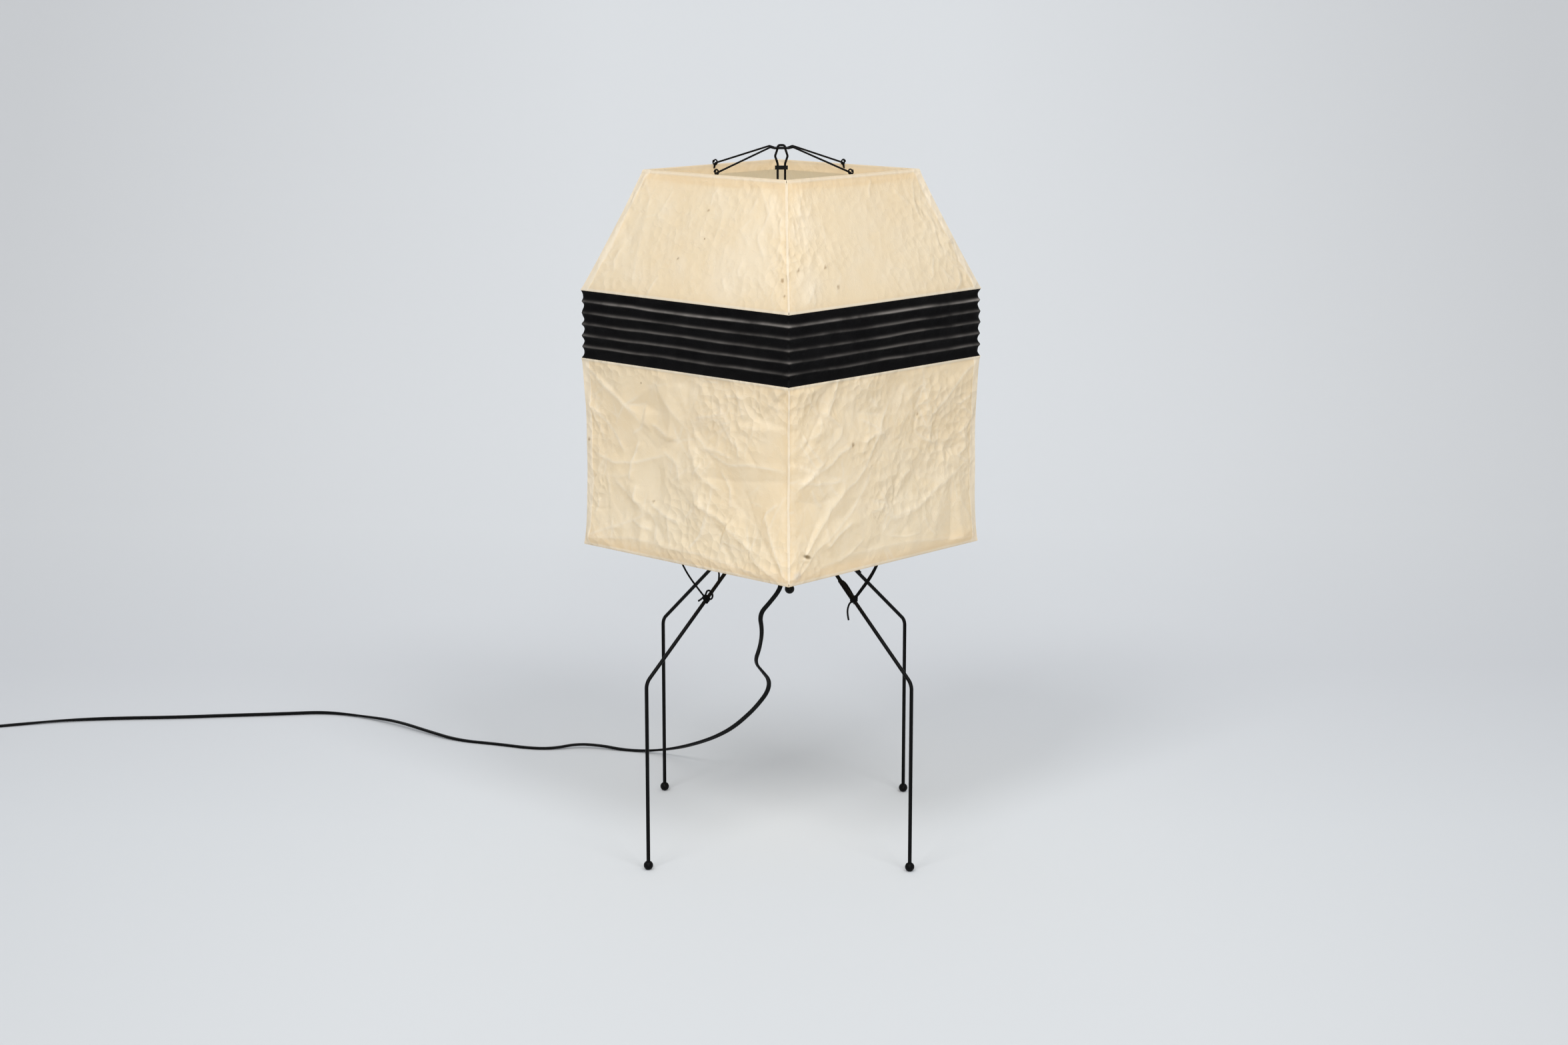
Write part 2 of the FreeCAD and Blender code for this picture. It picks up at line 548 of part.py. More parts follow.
def make_lampholder():
    """Lampholder with its clamp rings, contacts, pull switch and cord grip."""
    outside = "holder_diameter / 2"
    inner_round = "cap_round - holder_wall"
    body = turned("holder_body", [
        ("holder_inside", "holder_foot", None), (outside, "holder_foot", None),
        (outside, "holder_mouth", "mouth_round"), ("holder_inside", "holder_mouth", "mouth_round")])
    rings = []
    for name, low in (("upper", "hub_top"), ("lower", "hub_z - clamp_height")):
        high = f"{low} + clamp_height"
        rim = "clamp_diameter / 2"
        rings.append(turned(f"clamp_ring_{name}", [
            ("holder_bore", low, None), (rim, low, "clamp_round"),
            (rim, high, "clamp_round"), ("holder_bore", high, None)]))
    shell = turned("cap_shell", [
        (0, "cap_z", None), (outside, "cap_z", "cap_round"), (outside, "holder_foot", None),
        ("holder_inside", "holder_foot", None),
        ("holder_inside", "cap_floor", inner_round), (0, "cap_floor", None)])
    cord_way = place(primitive("Cylinder", "cap_cord_way", Radius="grip_diameter / 2 + snug",
                               Height="holder_wall"), z="cap_z")
    pull_way = place(primitive("Cylinder", "cap_pull_way", Radius="guide_diameter / 2 + snug",
                               Height="holder_wall"), 0, "-pull_reach", "cap_z")
    cap = cut("holder_cap", shell, [cord_way, pull_way])

    collar = "grip_diameter / 2 + grip_collar"
    grip = turned("cord_grip", [
        (0, "grip_z", None), ("cord_width / 2 + snug", "grip_z", None),
        ("grip_diameter / 2", "cap_z", None), ("grip_diameter / 2", "cap_floor", None),
        (collar, "cap_floor", None), (collar, "cap_floor + grip_collar", None),
        (0, "cap_floor + grip_collar", None)])
    guide = turned("pull_guide", [
        ("guide_bore", "cap_z - guide_lip", None), ("guide_flange / 2", "cap_z - guide_lip", None),
        ("guide_flange / 2", "cap_z", None), ("guide_diameter / 2", "cap_z", None),
        ("guide_diameter / 2", "cap_floor", None), ("guide_bore", "cap_floor", None)])
    place(guide, 0, "-pull_reach")

    core = "holder_inside - core_gap"
    case = turned("switch_case", [
        (0, "cap_floor", None), (core, "cap_floor", inner_round),
        (core, "block_z", None), (0, "block_z", None)])
    grip_room = place(primitive("Cylinder", "switch_grip_room", Radius=f"{collar} + snug",
                                Height="grip_collar + snug"), z="cap_floor")
    pull_room = place(primitive("Cylinder", "switch_pull_room", Radius="guide_bore",
                                Height="switch_height / 2"), 0, "-pull_reach", "cap_floor")
    switch = cut("pull_switch", case, [grip_room, pull_room])
    block = place(primitive("Cylinder", "contact_block", Radius=core, Height="block_height"), z="block_z")
    screw_shell = turned("screw_shell", [
        ("shell_diameter / 2 - shell_wall", "block_top", None), ("shell_diameter / 2", "block_top", None),
        ("shell_diameter / 2", "block_top + shell_height", None),
        ("shell_diameter / 2 - shell_wall", "block_top + shell_height", None)])
    contact = primitive("Box", "centre_contact", Length="2 * contact_width", Width="contact_width",
                        Height="contact_thick")
    place(contact, "-contact_width", "-contact_width / 2", "block_top")
    return [body, *rings, cap, grip, guide, switch, block, screw_shell, contact]


def make_pull():
    """The string and bead that work the pull switch."""
    string = primitive("Cylinder", "pull_string", Radius="pull_string / 2",
                       Height="cap_floor + switch_height / 2 - rest_gap - (bead_z + pull_bead / 2)")
    place(string, 0, "-pull_reach", "bead_z + pull_bead / 2")
    bead = primitive("Sphere", "pull_bead", Radius="pull_bead / 2")
    return [string, place(bead, 0, "-pull_reach", "bead_z")]


def make_bulb():
    """A screw-cap bulb: hollow glass, hollow cap and centre tip."""
    wide = "bulb_diameter / 2"
    neck = "bulb_cap_diameter / 2"
    wall = "bulb_glass_wall"
    flare_z = "glass_z + bulb_neck"
    wide_z = f"{flare_z} + bulb_flare"
    glass = turned("bulb_glass", [
        (neck, "glass_z", None), (neck, flare_z, "bulb_neck"), (wide, wide_z, "bulb_shoulder"),
        (wide, "glass_top", "bulb_crown"), (0, "glass_top", None), (0, f"glass_top - {wall}", None),
        (f"{wide} - {wall}", f"glass_top - {wall}", f"bulb_crown - {wall}"),
        (f"{wide} - {wall}", wide_z, f"bulb_shoulder - {wall}"),
        (f"{neck} - {wall}", flare_z, f"bulb_neck + {wall}"), (f"{neck} - {wall}", "glass_z", None)])
    cap = turned("bulb_cap", [
        (0, "bulb_cap_z", None), (neck, "bulb_cap_z", f"2 * {wall}"), (neck, "glass_z", None),
        (f"{neck} - {wall}", "glass_z", None), (f"{neck} - {wall}", f"bulb_cap_z + {wall}", None),
        (0, f"bulb_cap_z + {wall}", None)])
    tip = primitive("Cylinder", "bulb_tip", Radius="bulb_tip_diameter / 2", Height="bulb_tip_height")
    return [glass, cap, place(tip, z="tip_z")]


def make_harp():
    """The wire harp that holds the shade up: two feet in the hub, round the bulb, to a hairpin on top."""
    climb = [
        ("harp_reach", "hub_top - harp_seat", None), ("harp_reach", "hub_top + harp_foot", "harp_foot / 2"),
        ("harp_half_width", "harp_wide_z", "harp_flare / 2"),
        ("harp_half_width", "harp_close_z", "harp_neck / 2"),
        ("hairpin_half", "harp_closed_z", "harp_neck / 2"),
        ("hairpin_half", "shoulder_end", "shoulder_return / 2"),
        ("hairpin_bulge", "shoulder_low", "shoulder_round"),
        ("hairpin_half", "hairpin_foot", "shoulder_round"),
        ("hairpin_half", "hairpin_top", "hairpin_round")]
    descent = [(f"-{x}", z, radius) for x, z, radius in reversed(climb)]
    start = ("harp_reach", 0, "hub_top - harp_seat")
    harp = bent_wire("harp", "harp_wire", climb + descent, "XY_Plane", start)
    sleeve = primitive("Box", "ferrule_blank",
                       Length="ferrule_width", Width="ferrule_depth", Height="ferrule_height")
    ways = []
    for sign in (1, -1):
        way = primitive("Cylinder", f"ferrule_way_{len(ways)}",
                        Radius="harp_wire / 2 + snug", Height="ferrule_height")
        place(way, f"{sign} * hairpin_half * cos(45)", f"{-sign} * hairpin_half * sin(45)", "ferrule_z")
        ways.append(way)
    corner_x = "-(ferrule_width * cos(45) + ferrule_depth * sin(45)) / 2"
    corner_y = "(ferrule_width * sin(45) - ferrule_depth * cos(45)) / 2"
    place(sleeve, corner_x, corner_y, "ferrule_z", -45)
    return [place(harp, turn=-45), cut("harp_ferrule", sleeve, ways)]


def make_spider():
    """The wire eye that drops over the hairpin, and the four arms that carry the top rim."""
    eye = primitive("Torus", "spider_eye", Radius1="eye_ring", Radius2="arm_wire / 2")
    pieces = [place(eye, z="eye_z")]
    inner = "top_rim_reach - hook_radius"
    hook_z = "top_rim_z - hook_radius"
    first = "eye_ring + arm_wire / 2 + snug"
    path = [
        (first, "eye_z", None), (f"{first} + arm_level", "eye_z", "arm_bend"),
        ("arm_knee", "eye_z + arm_rise", "arm_knee_radius"),
        (inner, "top_rim_z + hook_drop", "hook_bend"), (inner, hook_z, "hook_turn"),
        ("top_rim_reach + glue_gap", hook_z, None)]
    for side, angle in SIDES:
        arm = bent_wire(f"spider_arm_{side}", "arm_wire", path, "YZ_Plane", (0, "eye_z", first))
        pieces.append(place(arm, turn=angle))
    return pieces


def make_shade():
    """Wire rims and ribs, the paper walls above and below, and the pleated band between them."""
    rims = [
        square_wire("top_rim", "rim_wire", "top_rim_reach", "top_rim_z"),
        square_wire("shoulder_rim", "rim_wire", "bottom_rim_reach", "shoulder_z"),
        square_wire("band_foot_rim", "rim_wire", "bottom_rim_reach", "band_foot_z"),
        square_wire("bottom_rim", "rim_wire", "bottom_rim_reach", "bottom_rim_z + rim_wire / 2")]
    ribs = []
    for number in range(1, PLEATS):
        z = f"shoulder_z - {number} * pleat_pitch"
        ribs.append(square_wire(f"pleat_rib_{number}", "rib_wire", "shade_side / 2 - rib_inset", z))
    walls = []
    for side, angle in SIDES:
        walls.append(paper_panel(f"upper_paper_{side}", angle, "shade_side", "shoulder_z",
                                 "top_side", "top_z"))
        walls.append(paper_panel(f"lower_paper_{side}", angle, "shade_side", "bottom_rim_z",
                                 "shade_side", "band_foot_z"))
    return rims + ribs + walls + [pleated_band("band_paper")]


def make_ties():
    """The strings that tie the bottom rim down to the legs, each with its knot on top of the leg."""
    pieces = []
    path = [("bottom_rim_reach", "tie_z", None), ("tie_bend", "tie_z", "tie_string"),
            ("knot_reach", "knot_z", None)]
    start = (0, "tie_z", "bottom_rim_reach")
    for side, angle in SIDES:
        string = bent_wire(f"tie_string_{side}", "tie_string", path, "YZ_Plane", start)
        turn = f"{angle} + leg_turn"
        place(string, turn=turn)
        knot = primitive("Sphere", f"tie_knot_{side}", Radius="tie_knot / 2")
        knot_x = f"knot_reach * cos({turn})"
        knot_y = f"knot_reach * sin({turn})"
        place(knot, knot_x, knot_y, "knot_z", f"{turn} + 180")
        pieces.append(fuse(f"tie_{side}", string, knot))
    return pieces


def on_coil(angle, z):
    """A point in the middle of the coil's winding, at an angle round it and a height."""
    turn = math.radians(angle)
    reach = value("coil_winding")
    return V(COIL_CENTRE[0] + reach * math.cos(turn), COIL_CENTRE[1] + reach * math.sin(turn), value(z))


def make_coil():
    """The coil that the rest of the cord is wound into, and the band that holds it."""
    x, y = COIL_CENTRE
    section = [("coil_inside", 0, "coil_round"), ("coil_outside", 0, "coil_round"),
               ("coil_outside", "coil_height", "coil_round"), ("coil_inside", "coil_height", "coil_round")]
    coil = place(turned("cord_coil", section), x, y, "coil_z")
    solids = []
    layers = (("outer", "tie_band", "tie_band_width"), ("inner", "0", "2 * tie_band_width"))
    for name, wall, width in layers:
        room = f"(tie_band_room + {wall})"
        box = primitive("Box", f"tie_band_{name}", Width=width,
                        Length=f"coil_outside - coil_inside + 2 * {room}",
                        Height=f"coil_height + tie_band_room + 2 * {wall}")
        along = f"(coil_inside - {room})"
        across = f"({width} / 2)"
        turn = TIE_BAND_ANGLE
        place(box, f"{x} + {along} * cos({turn}) + {across} * sin({turn})",
              f"{y} + {along} * sin({turn}) - {across} * cos({turn})", f"tie_band - {wall}", turn)
        solids.append(box)
    return [coil, cut("coil_band", solids[0], solids[1:])]


def make_plug(end, turn):
    """The two-blade plug, lying on the floor with the cord's end in its sleeve."""
    ahead = V(math.cos(math.radians(turn)), math.sin(math.radians(turn)), 0)
    left = V(-ahead.y, ahead.x, 0)
    sleeve = primitive("Cone", "plug_sleeve", Radius1="cord_width / 2 + snug",
                       Radius2="plug_sleeve_diameter / 2", Height="plug_sleeve + plug_round")
    place(sleeve, end.x, end.y, "plug_height / 2", turn, 90)
    box = primitive("Box", "plug_box", Length="plug_length", Width="plug_width", Height="plug_height")
    back = end + ahead * value("plug_sleeve")
    corner = back - left * value("plug_width / 2")
    place(box, corner.x, corner.y, 0, turn)
    doc.recompute()
    rounded = doc.addObject("Part::Fillet", "plug_rounded")
    rounded.Base = box
    radius = value("plug_round")
    rounded.Edges = [(number + 1, radius, radius) for number in range(len(box.Shape.Edges))]
    blades = []
    for sign in (1, -1):
        blade = primitive("Box", f"plug_blade_{len(blades)}",
                          Length="pin_length", Width="pin_thick", Height="pin_width")
        shift = sign * value("pin_spacing / 2") - value("pin_thick / 2")
        root = back + ahead * value("plug_length") + left * shift
        blades.append(place(blade, root.x, root.y, "plug_height / 2 - pin_width / 2", turn))
    return [fuse("plug_body", rounded, sleeve), group("plug_blades", blades)]


def make_cord():
    """The flat cord from its grip to its coil, and on to the plug on its far end."""
    entry = on_coil(COIL_ENTRY_ANGLE, "cord_width / 2")
    route = [V(0, 0, value("grip_z"))] + [V(*point) for point in CORD_ROUTE] + [entry]
    lead = cord_tube("cord_lead", route)
    leave = on_coil(TAIL_LEAVE_ANGLE, "plug_height / 2")
    turn = TAIL_LEAVE_ANGLE + 90
    heading = V(math.cos(math.radians(turn)), math.sin(math.radians(turn)), 0)
    knee = leave + heading * TAIL_RUN
    plug_turn = turn + TAIL_TURN
    heading = V(math.cos(math.radians(plug_turn)), math.sin(math.radians(plug_turn)), 0)
    end = knee + heading * TAIL_RUN
    tail = cord_tube("cord_tail", [leave, knee, end])
    return [lead, tail, *make_coil(), *make_plug(end, plug_turn)]


sub_parts = make_stand() + make_lampholder() + make_pull() + make_bulb() + make_harp()
sub_parts += make_spider() + make_shade() + make_ties() + make_cord()
doc.recompute()

for thing in doc.Objects:
    if "Invalid" in thing.State or "Error" in thing.State:
        raise RuntimeError(f"{thing.Label} failed: {thing.State}")
for piece in sub_parts:
    if piece.Shape.isNull() or not piece.Shape.isValid():
        raise RuntimeError(f"{piece.Label} has no sound shape")

os.makedirs("parts", exist_ok=True)
for piece in sub_parts:
    piece.Shape.exportStep(f"parts/{piece.Label}.step")
print(len(sub_parts), "sub-parts")
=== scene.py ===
"""The looks of the paper table lamp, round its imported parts, in metres and in the parts' own frame."""

import bpy
import json
import numpy as np
from math import atan2, cos, exp, hypot, pi, radians, sin
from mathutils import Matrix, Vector, noise
from mathutils.geometry import delaunay_2d_cdt


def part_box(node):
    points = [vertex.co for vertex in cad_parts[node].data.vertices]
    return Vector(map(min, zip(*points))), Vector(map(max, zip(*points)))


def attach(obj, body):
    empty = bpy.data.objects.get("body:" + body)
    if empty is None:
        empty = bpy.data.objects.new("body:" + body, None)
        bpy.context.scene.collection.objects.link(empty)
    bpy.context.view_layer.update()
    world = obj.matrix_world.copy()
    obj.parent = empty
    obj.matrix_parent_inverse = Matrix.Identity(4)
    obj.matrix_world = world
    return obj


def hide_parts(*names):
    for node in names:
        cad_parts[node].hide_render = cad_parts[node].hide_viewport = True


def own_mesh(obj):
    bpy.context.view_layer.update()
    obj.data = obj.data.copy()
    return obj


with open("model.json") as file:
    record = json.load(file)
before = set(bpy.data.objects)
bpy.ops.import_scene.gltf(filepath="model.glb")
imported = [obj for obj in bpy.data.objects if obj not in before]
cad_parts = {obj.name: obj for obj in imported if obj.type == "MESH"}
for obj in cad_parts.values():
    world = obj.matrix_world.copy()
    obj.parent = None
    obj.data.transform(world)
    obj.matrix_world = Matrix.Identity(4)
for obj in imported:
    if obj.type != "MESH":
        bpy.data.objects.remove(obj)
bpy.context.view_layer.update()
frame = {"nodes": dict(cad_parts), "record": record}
nodes = frame["nodes"]

# Camera, fitted to the photograph.
CAMERA_PLACE = Vector((-2.06515, -1.92736, 0.94245))
CAMERA_LOOK = Vector((0.71597, 0.66689, -0.20651))
CAMERA_LENS = 61.395
SENSOR_WIDTH = 36

# The shade's levels and half widths, and its band's pleats.
BOTTOM, BAND_FOOT = (corner.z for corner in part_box("lower_paper_front"))
SHOULDER, TOP = (corner.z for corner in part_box("upper_paper_front"))
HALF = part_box("lower_paper_right")[1].x
TOP_HALF = max(v.co.x for v in nodes["upper_paper_right"].data.vertices if v.co.z > TOP - 0.0001)
PLEATS = 6

# Each face with the angle of its outward direction, and the widths of the seam strips at its two sides.
# A face's first side is its left one, seen from outside. The front corner's seam has a kink.
FACES = (("left", 180), ("front", 270), ("right", 0), ("back", 90))
SEAM_WIDTHS = ((0.0105, 0.0018), (0.0018, 0.0105), (0.0018, 0.0105), (0.0018, 0.0018))
FRONT_CORNER = 1
FRONT_KINK = 0.52
KINK_WIDE = 0.05

# The paper: its thickness, the spacing of its points, and the points added along rims and seams.
PAPER = 0.0004
GRID = 0.0019
HEM = 0.0032
RIM_MARKS = (0.0008, 0.0016, 0.0024, HEM, HEM + 0.0008)
SEAM_MARKS = (0.0010, 0.0014, 0.0018, 0.0022, 0.0101, 0.0105, 0.0109)

# The seam strips at the corners, which draw in between the rims.
SEAM_STEP = 0.0003
SEAM_SOFT = 0.0004
SEAM_WAVE = 0.0005
SEAM_LINE = 0.0010
SEAM_WAVES = 60
LOWER_DRAW = 0.0032
UPPER_DRAW = 0.0010
FACE_DRAW = 0.55
CORNER_WOBBLE = 0.2
CORNER_KINK = 0.3

# The hems, rolled round the rims' wires and turned back inside, and the upper walls' turned-down edge.
HEM_ROUND = 0.0005
HEM_MIDDLE = 0.0012
HEM_SPREAD = 0.0014
HEM_LINE = 0.0008
RIM_ROUND = 0.0018
ROLL_RISE = 0.0009
ROLL = 10
FLAP = 0.010
FLAP_LEAN = 0.0003
TOP_FOLD = 0.005
TOP_SLACK = 0.004
FOLD_LINE = 0.0016
FOLD_SOFT = 0.0010

# How creases and crumpling shape the paper. It is free of its seams and rims from these distances on.
SIDE_FREE = 0.008
RIM_FREE = 0.007
CREASE_FADE = 5
CREASE_END = 0.1
# CREASE_LINE and the CLEAR_ values shape the creases' pale lines: partly whitened fold, partly painted
# highlight.
CREASE_LINE = 0.0013
CREASE_SHARP = 0.65
CREASE_WIDE = 4.0
CREST_SHARE = 0.80
SLOPE_SHARE = 0.70
CLEAR_RISE = 0.0016
CLEAR_REACH = 0.0045
LOOSE_CREASES = 46
LOWER_SEED, UPPER_SEED = 40, 60
LOOSE_RISE = (0.0006, 0.0016)
LOOSE_REACH = (0.0022, 0.0038)
LOWER_RUN = (0.05, 0.16)
UPPER_RUN = (0.05, 0.12)
UPPER_LOOSE = 0.7
SEAM_SCATTER = 0.10
BROAD_FACETS = 0.030
BROAD_RISE = 0.0028
SMALL_FACETS = 0.013
SMALL_RISE = 0.0010
FACET_MARGIN = 2
FACET_MERGE = 1e-7
# The crests' pale lines, with their width and strength: partly whitened fold, partly painted highlight.
CREST_LINE = 0.0012
CREST_PALE = 0.8
SMALL_CREST = 0.4
LOWER_WAVE = 0.0016
UPPER_WAVE = 0.0007
SEAM_CRUMPLE = 0.030
UPPER_CRINKLE, SEAM_CRINKLE = 0.36, 0.8

# Waves in a metre of paper, and of its patches; fine crumpling as a height, waves in a metre and stretch.
SOFT_WAVES = 11
LOWER_PATCHES, UPPER_PATCHES, WORN_PATCHES = 9, 12, 23
LOWER_FINE = (0.0004, 66, 1.0)
UPPER_COARSE = (0.0007, 46, 0.45)
UPPER_FINE = (0.0003, 95, 0.6)

# Creases of the papers: points, in hundredths of the way across and up, then a height and a reach, in
# tenths of a millimetre.
LOWER_LEFT_CREASES = (
    (((1, 97), (11, 87), (19, 81), (26, 75)), 18, 45),
    (((3, 97), (17, 85), (24, 77)), -12, 35),
    (((2, 76), (9, 70), (15, 64), (20, 54)), 16, 45),
    (((11, 70), (18, 58)), -12, 35),
    (((2, 78), (6, 68), (10, 58)), 12, 40),
    (((6, 50), (15, 47), (26, 49), (40, 55)), 14, 45),
    (((40, 57), (47, 52), (49, 43)), 14, 40),
    (((33, 30), (41, 24), (48, 21)), 16, 40),
    (((69, 79), (73, 71), (80, 64)), 14, 40),
    (((55, 70), (64, 61), (73, 56), (82, 58), (98, 57)), 15, 45),
    (((48, 41), (62, 48), (73, 48), (98, 52)), -12, 45),
    (((99, 0), (87, 9), (79, 18), (67, 28), (55, 35)), 28, 70),
    (((99, 1), (92, 15), (85, 26), (75, 37)), -18, 60),
    (((99, 2), (94, 19), (90, 34)), 18, 50),
    (((0, 4), (10, 10), (18, 14), (33, 23)), 18, 60),
    (((0, 4), (25, 8.5), (59, 7.5), (95, 1.5)), 16, 70),
    (((40, 86), (52, 70), (55, 55)), 10, 50),
    (((16, 38), (22, 32), (28, 27)), 12, 40),
    (((56, 55), (60, 47), (68, 42)), 11, 40),
    (((28, 66), (36, 58), (42, 60)), -10, 40),
)
LOWER_FRONT_CREASES = (
    (((1, 1), (7, 13), (13, 23), (19, 34), (27, 44)), 28, 70),
    (((1, 0), (12, 14), (23, 24), (31, 31), (40, 45)), 16, 60),
    (((4, 4), (9, 20), (15, 32)), -14, 50),
    (((6, 50), (13, 55), (21, 58), (24, 62), (32, 66)), 18, 40),
    (((4, 51), (13, 49), (25, 48)), 16, 35),
    (((24, 41), (33, 46), (38, 53), (44, 66), (47, 75), (51, 84)), 16, 45),
    (((42, 35), (54, 22), (65, 25), (75, 32), (97, 47)), 13, 50),
    (((98, 97), (91, 92), (83, 83), (72, 71)), 16, 50),
    (((96, 80), (88, 76)), 14, 30),
    (((96, 66), (90, 61), (96, 54)), 14, 30),
    (((95, 53), (89, 49), (95, 44)), 14, 30),
    (((8, 95), (16, 81), (13, 70)), 11, 45),
    (((3, 2), (30, 9), (60, 9), (98, 3)), 14, 70),
    (((4, 42), (13, 39), (22, 41)), -12, 45),
    (((62, 60), (72, 52), (86, 55)), 9, 50),
    (((60, 88), (66, 72), (76, 62)), 9, 50),
)
UPPER_LEFT_CREASES = (
    (((5, 93), (14, 80), (16, 66)), 9, 40),
    (((13, 62), (22, 66), (28, 60)), 7, 35),
    (((18, 48), (20, 30), (24, 12)), 7, 50),
    (((84, 93), (90, 74), (84, 55), (88, 40)), 10, 40),
    (((94, 90), (92, 78), (96, 62)), -9, 35),
    (((80, 70), (74, 60), (80, 48)), 7, 40),
    (((55, 92), (62, 72), (60, 52)), 5, 60),
)
UPPER_FRONT_CREASES = (
    (((10, 92), (7, 78), (12, 64)), 9, 40),
    (((3, 84), (8, 70), (4, 55)), -8, 35),
    (((90, 90), (84, 70), (86, 52)), 8, 40),
    (((22, 42), (28, 25), (24, 10)), 6, 50),
    (((92, 60), (88, 40), (94, 22)), 8, 40),
    (((50, 80), (56, 55), (52, 30)), 5, 60),
)

# Browning of the paper: along its sides and rims, with how far it reaches.
SIDE_BROWN, SIDE_BROWN_WIDE = 0.8, 0.009
RIM_BROWN, RIM_BROWN_WIDE = 0.7, 0.010
# Painted shade along the hem line and the seam strips' edges; more brown over the turned-down strip and all
# over the lower walls.
HEM_SHADE, SEAM_EDGE_SHADE, STRIP_BROWN, LOWER_BROWN = 0.6, 0.5, 0.35, 0.08

# Pale spots and dark specks on the papers, as share across, share up and radius.
UPPER_PALE = {
    "left": ((0.82, 0.38, 0.030), (0.70, 0.25, 0.028), (0.93, 0.72, 0.020)),
    "front": ((0.08, 0.66, 0.022), (0.10, 0.20, 0.020)),
}
LOWER_SPECKS = {
    "left": ((0.016, 0.567, 0.0020), (0.352, 0.299, 0.0014)),
    "front": ((0.313, 0.653, 0.0022), (0.672, 0.748, 0.0014)),
}
UPPER_SPECKS = {
    "left": (
        (0.972, 0.250, 0.0022), (0.981, 0.135, 0.0016), (0.528, 0.728, 0.0014), (0.426, 0.332, 0.0012),
    ),
    "front": ((0.052, 0.324, 0.0014), (0.198, 0.322, 0.0017), (0.256, 0.160, 0.0016)),
}
SPOT_STRENGTH = 0.85
PALE_SHARE = 0.5

# The tear in a lower paper, and the patch below it.
TEAR_FACE = "front"
TEAR_PLACE = (0.083, 0.131)
TEAR_SIZE = (0.0055, 0.0019)
TEAR_REACH = (0.009, 0.007)
TEAR_POINTS = 25
TEAR_TURN = -18
TEAR_DEPTH = 0.0010
TEAR_LIP = 0.0016
PATCH_PLACE = (0.033, 0.048)
PATCH_SIZE = 0.0050
PATCH_PALE = 0.75

# The black band: its pleats' points, their depth at the middle and at the corners, and their slack.
BAND_STEPS = 12
BAND_COLUMNS = 90
BAND_DEPTH = 0.0031
BAND_CORNER_DEPTH = 0.0021
BAND_SAG = 0.0015
BAND_SLACK = 0.0006
BAND_WAVE = 0.0005
PUCKER = 0.0018
PUCKER_WIDE = 0.04
RIDGE_ROUND = 0.08
# The ridges' painted highlight: its reach above and below each crown, its share off the top ridge, and its
# gain at the corners.
RIDGE_ABOVE = 0.13
RIDGE_BELOW = 0.06
LOWER_RIDGE_HIGHLIGHT = 0.42
CORNER_HIGHLIGHT = 0.9
CORNER_HIGHLIGHT_WIDE = 0.03

# The cord's route, from the cord grip to the coil, and how far the flat cord is rolled along it.
CORD_WIDTH = 0.0052
CORD_THICK = 0.0028
LINE_FINENESS = 10
ROUTE_MM = (
    (0, 0, 290), (0, 0, 280), (0, 3.5, 270), (1, 18, 254.5), (2, 35, 238), (14, 42, 216), (26, 57, 192),
    (33, 72, 171), (50, 76, 156), (66, 80, 142), (75, 91, 125), (80, 110, 106), (87, 132, 88),
    (94, 164, 64), (99, 195, 46), (103, 227, 31), (106, 262, 17), (107, 295, 6.5), (98, 322, 1.6),
    (85, 344, 1.6), (74, 370, 4), (57, 394, 4.8), (32, 408, 1.8), (13, 430, 1.6), (-3, 474, 1.6),
    (-25, 520, 1.6), (-31, 572, 4.4), (-32, 630, 5.8), (-38, 690, 2), (-60, 738, 2.5), (-101, 770, 2.6),
    (-152, 814, 2.6), (-205, 858, 2.6), (-256, 907, 2.6), (-307, 949, 2.5), (-352, 975, 2),
    (-386, 993, 1.8),
)
CORD_ROUTE = [(x / 1000, y / 1000, z / 1000) for x, y, z in ROUTE_MM]
ROLL_PLACES = (0, 0.04, 0.07, 0.11, 0.15, 0.19, 0.25, 0.30, 0.42, 0.49, 0.86, 0.95, 1.22, 1.32)
ROLL_ANGLES = (0, 0, 15, 55, 50, 15, 15, 35, 30, 0, 0, 52, 52, 0)
CORD_LANDS = 0.42
COIL_TURNS = 2.25
COIL_START_ANGLE = 56.5
COIL_POINTS = 16
COIL_ROOM = 0.0004
COIL_GAP = 0.0006
COIL_SECOND = 0.85
COIL_CLIMB = 1.75
COIL_OUT = 0.0030
TAIL_RUN = 0.020
TAIL_TURN = 12

# The strings that tie the shade down, and the legs that they are wound round.
STRING = 0.0010
STRING_FINENESS = 4
LEG_TURN = -3.1
LEG_RADIUS = 0.0020
LEG_SLOPE = Vector((195, 0, -173)).normalized()
KNOT_REACH = 0.1100
KNOT_HEIGHT = 0.2794
HEM_REACH = 0.1462
HEM_HOLE = 0.3285
PAIR_APART = 0.0017
WRAPS = 2.5
WRAP_POINTS = 10
WRAP_PITCH = 2.1

# A string from the hem to its knot, as distance from the middle, share of a pair's spacing, and height.
HANG = (
    (HEM_REACH, 0.5, HEM_HOLE), (HEM_REACH - 0.0025, 0.6, HEM_HOLE - 0.006),
    (0.134, 1, 0.3075), (0.121, 1, 0.2920),
)
HANG_END = (0.7, LEG_RADIUS + 0.0012)

